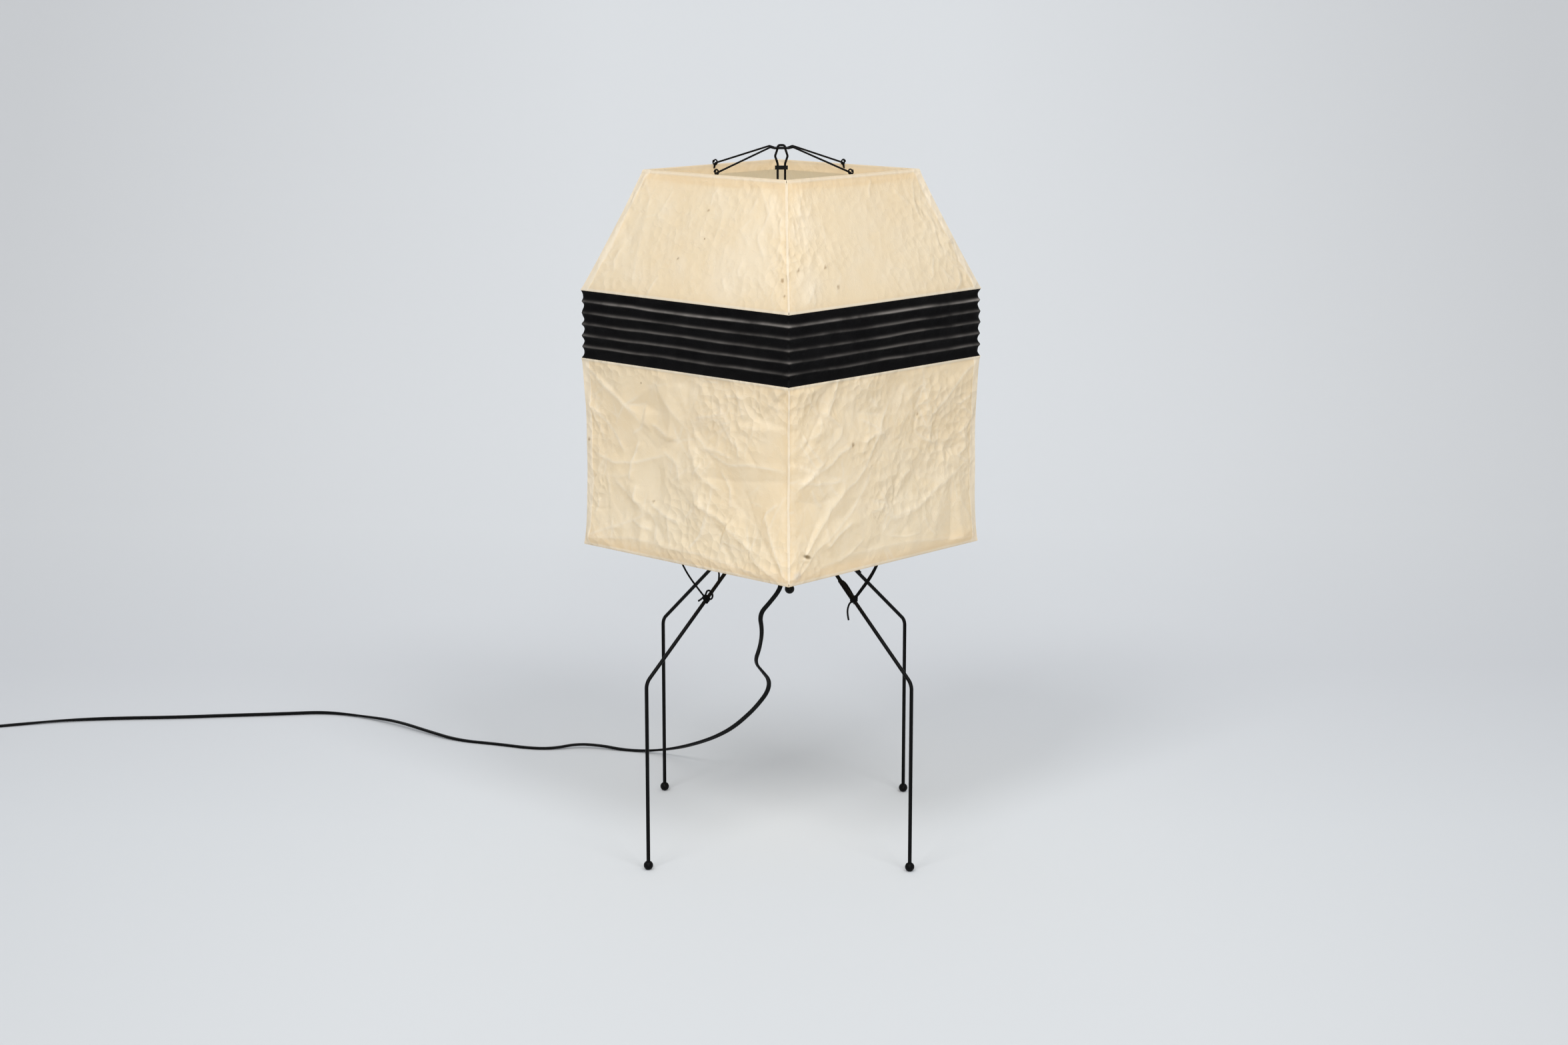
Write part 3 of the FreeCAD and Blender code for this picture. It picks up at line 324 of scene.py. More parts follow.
# The loops and ends beside a knot, as places down the leg, aside, off the leg and up.
LONG_LOOP = (
    (-0.002, 0.0026, 0), (-0.012, 0.0030, 0.0012), (-0.024, 0.0024, 0.0018), (-0.030, 0, -0.0024),
    (-0.022, -0.0026, 0), (-0.010, -0.0028, 0), (0, -0.0028, 0),
)
LONG_END = (
    (0, 0, 0.003), (0, -0.0050, 0, -0.0015), (0, -0.0085, 0, -0.0060), (0, -0.0095, 0, -0.0130),
    (0, -0.0075, 0, -0.0205),
)
BOW_END = ((0, 0, 0.0030), (0, -0.0040, 0.0020), (0, -0.0085, 0, -0.0015), (0, -0.0125, 0, -0.0040))
BOW_PLACE = (0.0075, 0.0035)
BOW_SIZE = (0.0052, 0.0048)
BOW_OFF = 0.0040
BOW_FROM, BOW_STEP, BOW_POINTS = -150, 25, 13
BOW_START, BOW_CLOSE = 0.0030, 0.0034
KNOT_ROUND = 0.0019
KNOT_OFF = 0.0036
KNOT_POINTS, KNOT_TURN = 31, 10

# The eyes at the arms' ends.
EYELET = 0.0028
EYELET_WIRE = 0.0008
EYELET_RISE = 0.0030
EYELET_POINTS = 17
EYELET_ROUND = 14

# Floor, backdrop and light.
# The floor's colour by depth and its darkening towards the sides paint the light's fall-off: painted light
# and painted shade.
FLOOR_TONES = (
    (-0.6, (0.64, 0.66, 0.68)),
    (0.0, (0.71, 0.735, 0.76)),
    (0.7, (0.74, 0.76, 0.79)),
    (1.6, (0.91, 0.93, 0.95)),
    (3.0, (0.86, 0.88, 0.90)),
)
FLOOR_SIDE_SHADE = (0.86, 0.855, 0.855)
SIDES_FROM, SIDES_TO = 0.38, 1.55
STAGE_NEAR = -8.0
STAGE_BACK = 3.0
STAGE_WIDE = 9.0
SWEEP = 1.4
SWEEP_STEPS = 12
STAGE_HIGH = 4.0
WORLD_COLOUR = (0.97, 0.985, 1.0)
WORLD_STRENGTH = 0.55
# Lamps: name, degrees aside of the camera and above the floor, size and power.
LAMPS = (
    ("left", -29, 49, 1.0, 33.5),
    ("right", 29, 49, 1.0, 33.5),
    ("front", 0, 13, 1.6, 34),
)
LAMP_AWAY = 3.4
LAMP_AIM = Vector((0, 0, 0.45))

# Colours.
CREAM = (0.936, 0.812, 0.606)
TAN = (0.870, 0.665, 0.405)
PALE = (0.975, 0.905, 0.770)
PAPER_GLOW = (0.965, 0.795, 0.525)
PAPER_THIN = 0.38
PAPER_THIN_INSIDE = 0.75
SPECK_BROWN = (0.200, 0.110, 0.045)
# The tear's slit, painted near-black as painted shade for the dark inside it.
TEAR_SHADE = (0.012, 0.008, 0.006)
PATCH_GREY = (0.700, 0.690, 0.650)
BAND_BLACK = (0.0022, 0.0020, 0.0022)
BAND_DUST = (0.0045, 0.0042, 0.0044)
# The grey that the band's ridges are lightened towards: a painted highlight.
BAND_HIGHLIGHT = (0.235, 0.215, 0.198)
STRING_BLACK = (0.002, 0.002, 0.002)
STRING_FUZZ = (0.008, 0.008, 0.008)
STRING_MEAN = (0.004, 0.004, 0.004)

# How strongly the paper's edges, seams and creases are tinted, painted shade and highlights among them:
# crease: pale lines along raised creases and crests, partly whitened fold and partly painted highlight.
# edge: browning, with painted shade along the hem lines, the seam strips' edges and the top fold.
# seam: the paler lapped strips and spots, with a painted highlight on the rolled hems.
PAPER_TINTS = (("edge", 0.52, TAN), ("seam", 0.75, PALE), ("crease", 0.80, PALE))


def node(tree, kind, sockets=(), **settings):
    """A new shader node, with its settings and with values or links on its sockets."""
    made = tree.nodes.new(kind)
    for name, setting in settings.items():
        setattr(made, name, setting)
    for name, given in dict(sockets).items():
        if isinstance(given, bpy.types.NodeSocket):
            tree.links.new(given, made.inputs[name])
        else:
            made.inputs[name].default_value = given
    return made


def rgba(colour):
    return (*colour, 1)


def new_material(name, colour, roughness, **values):
    """A material with one plain surface, its node tree and its surface node."""
    made = bpy.data.materials.new(name)
    made.use_nodes = True
    tree = made.node_tree
    surface = tree.nodes["Principled BSDF"]
    surface.inputs["Base Color"].default_value = rgba(colour)
    surface.inputs["Roughness"].default_value = roughness
    for socket, given in values.items():
        surface.inputs[socket.replace("_", " ")].default_value = given
    return made, tree, surface


def clouds(tree, scale, detail=4, stretch=(1, 1, 1)):
    """A soft noise over the surface, from 0 to 1."""
    place = node(tree, "ShaderNodeTexCoord")
    mapped = node(tree, "ShaderNodeMapping", {"Vector": place.outputs["Object"], "Scale": stretch})
    sockets = {"Vector": mapped.outputs["Vector"], "Scale": scale, "Detail": detail}
    return node(tree, "ShaderNodeTexNoise", sockets).outputs["Fac"]


def spread(tree, factor, low, high, to_low=0.0, to_high=1.0):
    """The factor's range from low to high, spread over another range."""
    sockets = {"Value": factor, "From Min": low, "From Max": high, "To Min": to_low, "To Max": to_high}
    return node(tree, "ShaderNodeMapRange", sockets).outputs["Result"]


def math_node(tree, operation, first, second=0.0):
    return node(tree, "ShaderNodeMath", {0: first, 1: second}, operation=operation).outputs[0]


def times(tree, first, second):
    return math_node(tree, "MULTIPLY", first, second)


def plus(tree, first, second):
    return math_node(tree, "ADD", first, second)


def mixed(tree, factor, *colours, blend="MIX"):
    """Two colours, each a socket or a plain colour, mixed by a factor socket."""
    first, second = (given if isinstance(given, bpy.types.NodeSocket) else rgba(given) for given in colours)
    sockets = {0: factor, 6: first, 7: second}
    return node(tree, "ShaderNodeMix", sockets, data_type="RGBA", blend_type=blend).outputs[2]


def attribute(tree, name):
    return node(tree, "ShaderNodeAttribute", attribute_name=name).outputs["Fac"]


def bump(tree, surface, height, distance):
    made = node(tree, "ShaderNodeBump", {"Height": height, "Distance": distance, "Strength": 1.0})
    tree.links.new(made.outputs["Normal"], surface.inputs["Normal"])


def two_shaders(tree, factor, first, second):
    """Shows one shader or the other, or some of both, by a factor."""
    both = node(tree, "ShaderNodeMixShader", {0: factor, 1: first.outputs[0], 2: second.outputs[0]})
    tree.links.new(both.outputs[0], tree.nodes["Material Output"].inputs["Surface"])


def hairs(tree, scale, width):
    """Thin curled lines, as fibres in handmade paper make."""
    off_middle = math_node(tree, "ABSOLUTE", math_node(tree, "SUBTRACT", clouds(tree, scale, 2), 0.5))
    return spread(tree, off_middle, 0, width, 1, 0)


def specks(tree, scale, share):
    """Small round spots in a share of the cells of a pattern."""
    place = node(tree, "ShaderNodeTexCoord")
    cells = node(tree, "ShaderNodeTexVoronoi", {"Vector": place.outputs["Object"], "Scale": scale})
    picked = node(tree, "ShaderNodeSeparateColor", {"Color": cells.outputs["Color"]}).outputs["Red"]
    spot = spread(tree, cells.outputs["Distance"], 0.03, 0.05, 0.7, 0)
    return times(tree, spot, math_node(tree, "GREATER_THAN", picked, 1 - share))


def crinkles(tree, scale):
    """Facets with sharp crests between them, as crumpled paper has, and the crests' lines: whitened folds
    and painted highlight.
    """
    place = node(tree, "ShaderNodeTexCoord").outputs["Object"]
    stir = node(tree, "ShaderNodeTexNoise", {"Vector": place, "Scale": 26, "Detail": 2}).outputs["Color"]
    moved = node(tree, "ShaderNodeVectorMath", {"Vector": stir, "Scale": 0.012}, operation="SCALE")
    place = node(tree, "ShaderNodeVectorMath", {0: place, 1: moved.outputs[0]}, operation="ADD")
    sockets = {"Vector": place.outputs[0], "Scale": scale}
    facets = node(tree, "ShaderNodeTexVoronoi", sockets).outputs["Distance"]
    crests = node(tree, "ShaderNodeTexVoronoi", sockets, feature="DISTANCE_TO_EDGE").outputs["Distance"]
    return facets, spread(tree, crests, 0, 0.05, 1, 0)


def paper_material():
    """Aged handmade paper that lets light through: clouded, fibrous, browner at its edges, with specks,
    painted highlights and painted shade.
    """
    made, tree, surface = new_material("cream paper", CREAM, 0.55, Specular_IOR_Level=0.32)
    fibres = hairs(tree, 55, 0.012)
    facets, crests = crinkles(tree, 105)
    patches = times(tree, spread(tree, clouds(tree, 11, 2), 0.38, 0.60), attribute(tree, "crumple"))
    layers = [
        (spread(tree, clouds(tree, 7, 3), 0.40, 0.72, 0, 0.38), TAN),
        (spread(tree, clouds(tree, 38, 6), 0.45, 0.72, 0, 0.28), PALE),
        (times(tree, fibres, 0.20), PALE),
        (times(tree, hairs(tree, 34, 0.006), 0.16), TAN),
    ]
    layers += [(times(tree, attribute(tree, name), share), tint) for name, share, tint in PAPER_TINTS]
    layers += [
        # Pale lines along the crinkles' crests: partly whitened fold, partly painted highlight.
        (times(tree, times(tree, crests, patches), 0.28), PALE),
        (attribute(tree, "patch"), PATCH_GREY),
        (specks(tree, 40, 0.05), SPECK_BROWN),
        (attribute(tree, "speck"), SPECK_BROWN),
        # The tear's slit is painted near-black: painted shade.
        (attribute(tree, "tear"), TEAR_SHADE),
    ]
    colour = CREAM
    for factor, tint in layers:
        colour = mixed(tree, factor, colour, tint)
    tree.links.new(colour, surface.inputs["Base Color"])
    height = plus(tree, times(tree, times(tree, facets, 3.0), patches), times(tree, fibres, 0.15))
    height = plus(tree, height, times(tree, clouds(tree, 260, 3), 0.25))
    bump(tree, surface, height, 0.0008)
    through = node(tree, "ShaderNodeBsdfTranslucent", {"Color": rgba(PAPER_GLOW)})
    inside = node(tree, "ShaderNodeNewGeometry").outputs["Backfacing"]
    two_shaders(tree, spread(tree, inside, 0, 1, PAPER_THIN, PAPER_THIN_INSIDE), surface, through)
    return made


def black_paper_material():
    """Black paper, dusty, with a painted highlight along its ridges."""
    made, tree, surface = new_material("black paper", BAND_BLACK, 0.6, Specular_IOR_Level=0.06)
    patchiness = spread(tree, clouds(tree, 24, 5), 0.36, 0.64, 0.25, 1)
    colour = mixed(tree, spread(tree, clouds(tree, 30, 5), 0.4, 0.7), BAND_BLACK, BAND_DUST)
    # The ridges are lightened in patches: a painted highlight.
    colour = mixed(tree, times(tree, attribute(tree, "ridge"), patchiness), colour, BAND_HIGHLIGHT)
    tree.links.new(colour, surface.inputs["Base Color"])
    tree.links.new(spread(tree, clouds(tree, 90, 4), 0.3, 0.7, 0.5, 0.7), surface.inputs["Roughness"])
    bump(tree, surface, clouds(tree, 220, 5), 0.0004)
    return made


def worn_material(name, colour, worn, roughness, scale, depth, **values):
    """A hard finish with slight variation in colour, gloss and surface."""
    made, tree, surface = new_material(name, colour, roughness, **values)
    patchiness = spread(tree, clouds(tree, scale, 5), 0.45, 0.75)
    tree.links.new(mixed(tree, patchiness, colour, worn), surface.inputs["Base Color"])
    gloss = spread(tree, clouds(tree, scale * 3, 3), 0.3, 0.7, roughness * 0.8, roughness * 1.2)
    tree.links.new(gloss, surface.inputs["Roughness"])
    bump(tree, surface, clouds(tree, scale * 8, 3), depth)
    return made


def black_material(name, shade, roughness, scale, specular=0.2):
    """A worn black finish."""
    colour = (shade, shade, shade * 1.05)
    worn = (shade * 1.8, shade * 1.8, shade * 1.85)
    return worn_material(name, colour, worn, roughness, scale, 0.0001, Specular_IOR_Level=specular)


def string_material():
    """Twisted black string, with the fuzz of its fibres."""
    made, tree, surface = new_material("black string", STRING_MEAN, 0.9, Specular_IOR_Level=0.05)
    twist = clouds(tree, 900, 2, (1, 1, 0.4))
    tree.links.new(mixed(tree, twist, STRING_BLACK, STRING_FUZZ), surface.inputs["Base Color"])
    bump(tree, surface, twist, 0.0004)
    return made


def make_materials():
    """One finish for each of the record's material slots."""
    return {
        "paper_cream": paper_material(),
        "paper_black": black_paper_material(),
        "wire_black": black_material("black wire", 0.0025, 0.38, 70, 0.08),
        "rubber_black": black_material("black rubber", 0.0025, 0.40, 120, 0.08),
        "hub_black": black_material("black hub", 0.008, 0.42, 60),
        "holder_black": black_material("lampholder", 0.012, 0.30, 50, 0.35),
        "bead_black": black_material("black bead", 0.0025, 0.30, 90, 0.10),
        "cord_black": black_material("black flex", 0.0025, 0.45, 120, 0.07),
        "plug_black": black_material("black plug", 0.008, 0.45, 140, 0.3),
        "string_black": string_material(),
        "rib_steel": worn_material(
            "rib wire", (0.10, 0.095, 0.09), (0.16, 0.12, 0.08), 0.45, 60, 0.0001, Metallic=0.9),
        "screw_steel": worn_material(
            "steel", (0.42, 0.42, 0.43), (0.55, 0.55, 0.56), 0.35, 150, 0.0001, Metallic=1.0),
        "ceramic_white": worn_material(
            "ceramic", (0.78, 0.76, 0.71), (0.68, 0.64, 0.57), 0.60, 90, 0.0002),
        "brass": worn_material(
            "brass", (0.66, 0.45, 0.17), (0.46, 0.30, 0.12), 0.32, 90, 0.0001, Metallic=1.0),
        "bulb_opal": worn_material(
            "opal glass", (0.86, 0.85, 0.81), (0.90, 0.89, 0.86), 0.16, 20, 0.00005, Coat_Weight=0.6),
    }


def placed(name, data):
    """A new object in the scene."""
    made = bpy.data.objects.new(name, data)
    bpy.context.scene.collection.objects.link(made)
    return made


def level_way(turn):
    """The level direction at an angle."""
    return Vector((cos(turn), sin(turn), 0))


def show(name, mesh, body, slot, *stands_for):
    """A new piece that moves with a body, and stands for the solids that it is drawn over."""
    piece = placed(name, mesh)
    mesh.materials.append(MATERIALS[slot])
    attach(piece, body)
    if stands_for:
        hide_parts(*stands_for)
    return piece


def grid_mesh(name, points, closed=False, capped=False, **attributes):
    """A mesh over rows of points, open or closed round to a tube, with values for its finish."""
    rows, columns = points.shape[:2]
    last = columns if closed else columns - 1
    faces = []
    for row in range(rows - 1):
        for column in range(last):
            beside = (column + 1) % columns
            low, high = row * columns, (row + 1) * columns
            faces.append((low + column, low + beside, high + beside, high + column))
    is_smooth = [True] * len(faces)
    if capped:
        ends = list(range(rows * columns))
        faces += [ends[:columns][::-1], ends[-columns:]]
        is_smooth += [False, False]
    mesh = bpy.data.meshes.new(name)
    mesh.from_pydata(points.reshape(-1, 3).tolist(), [], faces)
    mesh.polygons.foreach_set("use_smooth", is_smooth)
    for key, values in attributes.items():
        made = mesh.attributes.new(key, "FLOAT", "POINT")
        made.data.foreach_set("value", values.astype(np.float32).ravel())
    mesh.update()
    return mesh


def thicken(piece):
    """Gives a sheet its thickness, inwards from the face that shows."""
    made = piece.modifiers.new("paper", "SOLIDIFY")
    made.thickness = PAPER
    made.offset = -1
    made.use_even_offset = False


def from_crease(across, up, points):
    """How far each place of a face is from a crease's line, and its share of the way along the line."""
    nearest = np.full(across.shape, np.inf)
    along = np.zeros(across.shape)
    count = len(points) - 1
    for number, (start, end) in enumerate(zip(points, points[1:])):
        run = np.subtract(end, start)
        share = ((across - start[0]) * run[0] + (up - start[1]) * run[1]) / (run @ run)
        share = np.clip(share, 0, 1)
        away = np.hypot(across - start[0] - share * run[0], up - start[1] - share * run[1])
        closer = away < nearest
        nearest = np.where(closer, away, nearest)
        along = np.where(closer, (number + share) / count, along)
    return nearest, along


def creased(across, up, width, height, creases):
    """How far the creases push a face out, place by place, and where their pale lines are, partly whitened
    fold and partly painted highlight.
    """
    total = np.zeros(across.shape)
    lines = np.zeros(across.shape)
    for points, rise, reach in creases:
        line = [(share * width, level * height) for share, level in points]
        away, along = from_crease(across, up, line)
        fade = np.clip(CREASE_FADE * np.minimum(along + CREASE_END, 1 + CREASE_END - along), 0, 1)
        fold = CREST_SHARE * np.exp(-away / (CREASE_SHARP * reach))
        fold += SLOPE_SHARE * np.exp(-away / (CREASE_WIDE * reach))
        total += rise * fade * fold
        if rise > 0:
            sharp = min(1, rise / CLEAR_RISE) * min(1, CLEAR_REACH / reach)
            lines = np.maximum(lines, sharp * fade * np.exp(-(away / CREASE_LINE) ** 2))
    return total, lines


def loose_creases(face, is_lower):
    """Short creases over a lower wall, or along the seams of an upper one. Each run gives the same ones."""
    chance = np.random.default_rng(face + (LOWER_SEED if is_lower else UPPER_SEED))
    made = []
    for number in range(LOOSE_CREASES):
        if is_lower:
            share, turn = chance.uniform(0.03, 0.97), chance.uniform(0, pi)
            run = chance.uniform(*LOWER_RUN)
        else:
            off = min(0.5, 0.02 + chance.exponential(SEAM_SCATTER))
            share, turn = (off if number % 2 else 1 - off), pi / 2 + chance.uniform(-0.6, 0.6)
            run = chance.uniform(*UPPER_RUN)
        level = chance.uniform(0.08, 0.93)
        side, rise = run * cos(turn), 1.5 * run * sin(turn)
        bend = chance.uniform(-0.25, 0.25)
        points = ((share - side / 2, level - rise / 2), (share - bend * rise / 2, level + bend * side / 2),
                  (share + side / 2, level + rise / 2))
        height = chance.uniform(*LOOSE_RISE) * (1 if number % 3 else -1)
        made.append((points, height if is_lower else UPPER_LOOSE * height, chance.uniform(*LOOSE_REACH)))
    return made


def wavy(across, up, scale, seed, octaves=3):
    """A soft wave over a face, from about -1 to 1."""
    places = zip(across.ravel() * scale, up.ravel() * scale)
    values = [noise.fractal(Vector((x, y, seed * 5.3)), 1.0, 2.0, octaves) for x, y in places]
    return np.array(values).reshape(across.shape)


def crumpled(across, up, seed, rise, scale, stretch):
    """A crumpled pattern over a face, with sharp ridges and flatter places between them."""
    places = zip(across.ravel() * scale, up.ravel() * scale * stretch)
    values = [1 - 2 * abs(noise.noise(Vector((x, y, seed * 3.1)))) for x, y in places]
    return rise * np.array(values).reshape(across.shape)


def faceted(x, y, spacing, seed):
    """Flat three-cornered facets with sharp crests, as crumpled paper has, and the lines of the crests."""
    chance = np.random.default_rng(seed)
    margin = FACET_MARGIN * spacing
    wide, high = x.max() + 2 * margin, y.max() + 2 * margin
    count = round(wide * high / spacing ** 2)
    spots = np.stack([chance.uniform(0, wide, count), chance.uniform(0, high, count)], axis=1) - margin
    heights = chance.uniform(-1, 1, count)
    joined = delaunay_2d_cdt([Vector(spot) for spot in spots], [], [], 0, FACET_MERGE)
    facets, sources = joined[2:4]
    rises, lines = np.zeros(x.shape), np.zeros(x.shape)
    for facet in facets:
        corners = [sources[corner][0] for corner in facet]
        parts = []
        for first, second, third in (corners, corners[1:] + corners[:1], corners[2:] + corners[:2]):
            top, base = spots[first], spots[second]
            run = spots[third] - base
            away = run[0] * (y - base[1]) - run[1] * (x - base[0])
            tall = run[0] * (top[1] - base[1]) - run[1] * (top[0] - base[0])
            parts.append((away / tall, abs(tall) / hypot(*run), heights[first]))
        inside = np.min([share for share, tall, rise in parts], axis=0) >= 0
        rises[inside] = sum(share * rise for share, tall, rise in parts)[inside]
        near = np.min([share * tall for share, tall, rise in parts], axis=0)
        lines[inside] = np.exp(-(near[inside] / CREST_LINE) ** 2)
    return rises, lines


def drawn_in(corner, up, depth):
    """How far a corner seam is drawn in between two rims, at shares of the height."""
    wobble = np.array([noise.noise(Vector((corner * 7.3, share * 4.0, depth * 900))) for share in up])
    bow = depth * (4 * up * (1 - up)) ** 0.8
    kink = np.exp(-((up - FRONT_KINK) / KINK_WIDE) ** 2) if corner == FRONT_CORNER else 0 * up
    held = np.minimum(1, 12 * np.minimum(up, 1 - up))
    return bow + held * (CORNER_WOBBLE * depth * wobble + CORNER_KINK * depth * kink)


def steps(length, marks, closer=()):
    """Shares of a length, evenly spaced, with more of them near its ends and at chosen places."""
    even = np.linspace(0, length, round(length / GRID) + 1)
    places = np.concatenate([even, marks, length - np.array(marks), closer])
    return np.unique(np.round(places, 5)) / length


def spotted(across, up, width, height, spots):
    """Where a face's spots are."""
    total = np.zeros(across.shape)
    for share, level, radius in spots:
        away = np.hypot(across - share * width, up - level * height)
        total = np.maximum(total, np.exp(-(away / radius) ** 4))
    return SPOT_STRENGTH * total


def top_fold(across, below):
    """The turned-down edge of an upper wall: the line where it ends, lower in the middle and darkened as
    painted shade, and its strip.
    """
    drop = TOP_FOLD + TOP_SLACK * 4 * across * (1 - across)
    return np.exp(-((below - drop) / FOLD_LINE) ** 2), np.clip((drop - below) / FOLD_SOFT, 0, 1)


def torn(across, up, width, height):
    """Where the tear is, where its lip is turned up, and where the paper is patched below it."""
    turn = radians(TEAR_TURN)
    x = across - TEAR_PLACE[0] * width
    y = up - TEAR_PLACE[1] * height
    along = x * cos(turn) + y * sin(turn)
    aside = y * cos(turn) - x * sin(turn)
    slit = np.exp(-((along / TEAR_SIZE[0]) ** 2 + (aside / TEAR_SIZE[1]) ** 2) ** 2)
    lip = np.exp(-(along / TEAR_SIZE[0]) ** 2 - ((aside + 2 * TEAR_SIZE[1]) / TEAR_SIZE[1]) ** 2)
    away = np.hypot(across - PATCH_PLACE[0] * width, (up - PATCH_PLACE[1] * height) * 1.2)
    return slit, lip, PATCH_PALE * np.exp(-(away / PATCH_SIZE) ** 4)


def tear_steps(length, way):
    """Closer places round the tear, across or up."""
    middle, reach = TEAR_PLACE[way] * length, TEAR_REACH[way]
    return np.linspace(middle - reach, middle + reach, TEAR_POINTS)


def wall(face, body, levels, halves, draw, creases, is_lower):
    """One paper wall between two rims, with its hem rolled round a rim, its seams, creases and specks."""
    side, angle = FACES[face]
    low_z, high_z = levels
    low_half, high_half = halves
    height = high_z - low_z
    width = 2 * low_half
    has_tear = is_lower and side == TEAR_FACE
    up = steps(height, RIM_MARKS, tear_steps(height, 1) if has_tear else ())
    share = steps(width, SEAM_MARKS, tear_steps(width, 0) if has_tear else ())
    across, level = np.meshgrid(share, up)
    x, y = across * width, level * height
    half = low_half + (high_half - low_half) * level
    first = drawn_in(face, up, draw)[:, None]
    second = drawn_in((face + 1) % len(FACES), up, draw)[:, None]
    corner_in = first + (second - first) * across
    to_sides = (across * 2 * half, (1 - across) * 2 * half)
    to_side = np.minimum(*to_sides)
    to_rim = np.minimum(level, 1 - level) * height
    side_share = np.abs(2 * across - 1) ** 4
    bow = corner_in * side_share + FACE_DRAW * draw * 4 * level * (1 - level) * (1 - side_share)

    free = np.clip(to_side / SIDE_FREE, 0, 1) * np.clip(to_rim / RIM_FREE, 0, 1)
    relief, crease = creased(x, y, width, height, creases + loose_creases(face, is_lower))
    crumpling, crests = crumples(x, y, to_side, face, is_lower)
    relief += crumpling
    # The crests' lines join the creases' pale lines: partly whitened fold, partly painted highlight.
    crease = np.maximum(crease, CREST_PALE * crests)
    edge_wave = SEAM_WAVE * wavy(x, y, SEAM_WAVES, face + 3, 2)
    seam, seam_line = np.zeros((2, *x.shape))
    for strip, away in zip(SEAM_WIDTHS[face], to_sides):
        seam = np.maximum(seam, np.clip((strip + edge_wave - away) / SEAM_SOFT + 0.5, 0, 1))
        seam_line += np.exp(-((away - strip) / SEAM_LINE) ** 2)
    roll = HEM_ROUND * np.exp(-((to_rim - HEM_MIDDLE) / HEM_SPREAD) ** 2)
    hem = np.exp(-((to_rim - HEM) / HEM_LINE) ** 2)
    slit, lip, patch = torn(x, y, width, height) if has_tear else np.zeros((3, *x.shape))
    relief += TEAR_LIP * lip - TEAR_DEPTH * slit
    reach = half - bow + relief * free + SEAM_STEP * seam + roll
    sideways = (2 * across - 1) * (half - corner_in + SEAM_STEP)
    z = low_z + height * level

    edge = SIDE_BROWN * np.exp(-to_side / SIDE_BROWN_WIDE) + RIM_BROWN * np.exp(-to_rim / RIM_BROWN_WIDE)
    # The hem line and the seam strips' edges are darkened: painted shade.
    edge = edge + HEM_SHADE * hem + SEAM_EDGE_SHADE * seam_line
    if is_lower:
        edge = edge + LOWER_BROWN
        crumple = np.ones(x.shape)
        dark, pale = LOWER_SPECKS, {}
    else:
        fold, strip = top_fold(across, (1 - level) * height)
        # The top fold's line is darkened as painted shade; the strip above it is browner.
        edge = edge + fold + STRIP_BROWN * strip
        crumple = np.clip(UPPER_CRINKLE + SEAM_CRINKLE * np.exp(-to_side / SEAM_CRUMPLE), 0, 1)
        dark, pale = UPPER_SPECKS, UPPER_PALE
    pale = PALE_SHARE * spotted(x, y, width, height, pale.get(side, ()))
    values = {
        "crumple": crumple,
        "edge": np.clip(edge, 0, 1),
        # The rolled hems are painted pale with the seam strips: a painted highlight on the roll.
        "seam": np.clip(seam + roll / HEM_ROUND + pale, 0, 1),
        "crease": crease,
        "speck": spotted(x, y, width, height, dark.get(side, ())),
        "tear": slit,
        "patch": patch,
    }
    rows = add_hem([reach, sideways, z, *values.values()], not is_lower)
    reach, sideways, z = rows[:3]
    turn = radians(angle)
    ahead = reach * cos(turn) - sideways * sin(turn)
    aside = reach * sin(turn) + sideways * cos(turn)
    points = np.stack([ahead, aside, z], axis=2)
    part = "lower" if is_lower else "upper"
    mesh = grid_mesh(f"{part}_wall_{side}", points, **dict(zip(values, rows[3:])))
    show(mesh.name, mesh, body, "paper_cream", f"{part}_paper_{side}")


def crumples(x, y, to_side, face, is_lower):
    """The loose crumpling of a wall: all over the lower ones, and near the seams of the upper ones."""
    soft = wavy(x, y, SOFT_WAVES, face + 1)
    small, lines = faceted(x, y, SMALL_FACETS, face + 13)
    if is_lower:
        patches = np.clip(0.55 + 1.2 * wavy(x, y, LOWER_PATCHES, face + 21, 2), 0.2, 1)
        broad, crests = faceted(x, y, BROAD_FACETS, face + 17)
        worn = np.clip(2.5 * wavy(x, y, WORN_PATCHES, face + 27, 2), 0, 1)
        fine = SMALL_RISE * small + crumpled(x, y, face + 9, *LOWER_FINE)
        lines = np.maximum(SMALL_CREST * patches * lines, worn * crests)
        return LOWER_WAVE * soft + BROAD_RISE * broad + patches * fine, lines
    near_seam = np.exp(-to_side / SEAM_CRUMPLE)
    patches = np.clip(0.08 + near_seam + 0.7 * wavy(x, y, UPPER_PATCHES, face + 31, 2), 0.05, 1)
    fine = crumpled(x, y, face + 5, *UPPER_COARSE) + crumpled(x, y, face + 9, *UPPER_FINE)
    return UPPER_WAVE * soft + patches * (fine + SMALL_RISE * small), SMALL_CREST * patches * lines


def add_hem(rows, at_top):
    """The same wall with its edge rolled round the rim's wire and turned back inside as a flap."""
    reach, sideways, z = rows[:3]
    end, beyond = (-1, 1) if at_top else (0, -1)
    outer = reach[end]
    turns = np.linspace(0, pi, ROLL)[1:]
    ring = [(RIM_ROUND * (1 - cos(turn)), beyond * ROLL_RISE * sin(turn)) for turn in turns]
    ring += [(2 * RIM_ROUND, -beyond * FLAP / 2), (2 * RIM_ROUND - FLAP_LEAN, -beyond * FLAP)]
    grown = []
    for number, old in enumerate(rows):
        added = []
        for inward, rise in ring:
            ahead = outer - inward
            place = (ahead, sideways[end] * ahead / outer, z[end] + rise)
            added.append(place[number] if number < len(place) else old[end])
        added = np.array(added)
        grown.append(np.concatenate([old, added]) if at_top else np.concatenate([added[::-1], old]))
    return grown


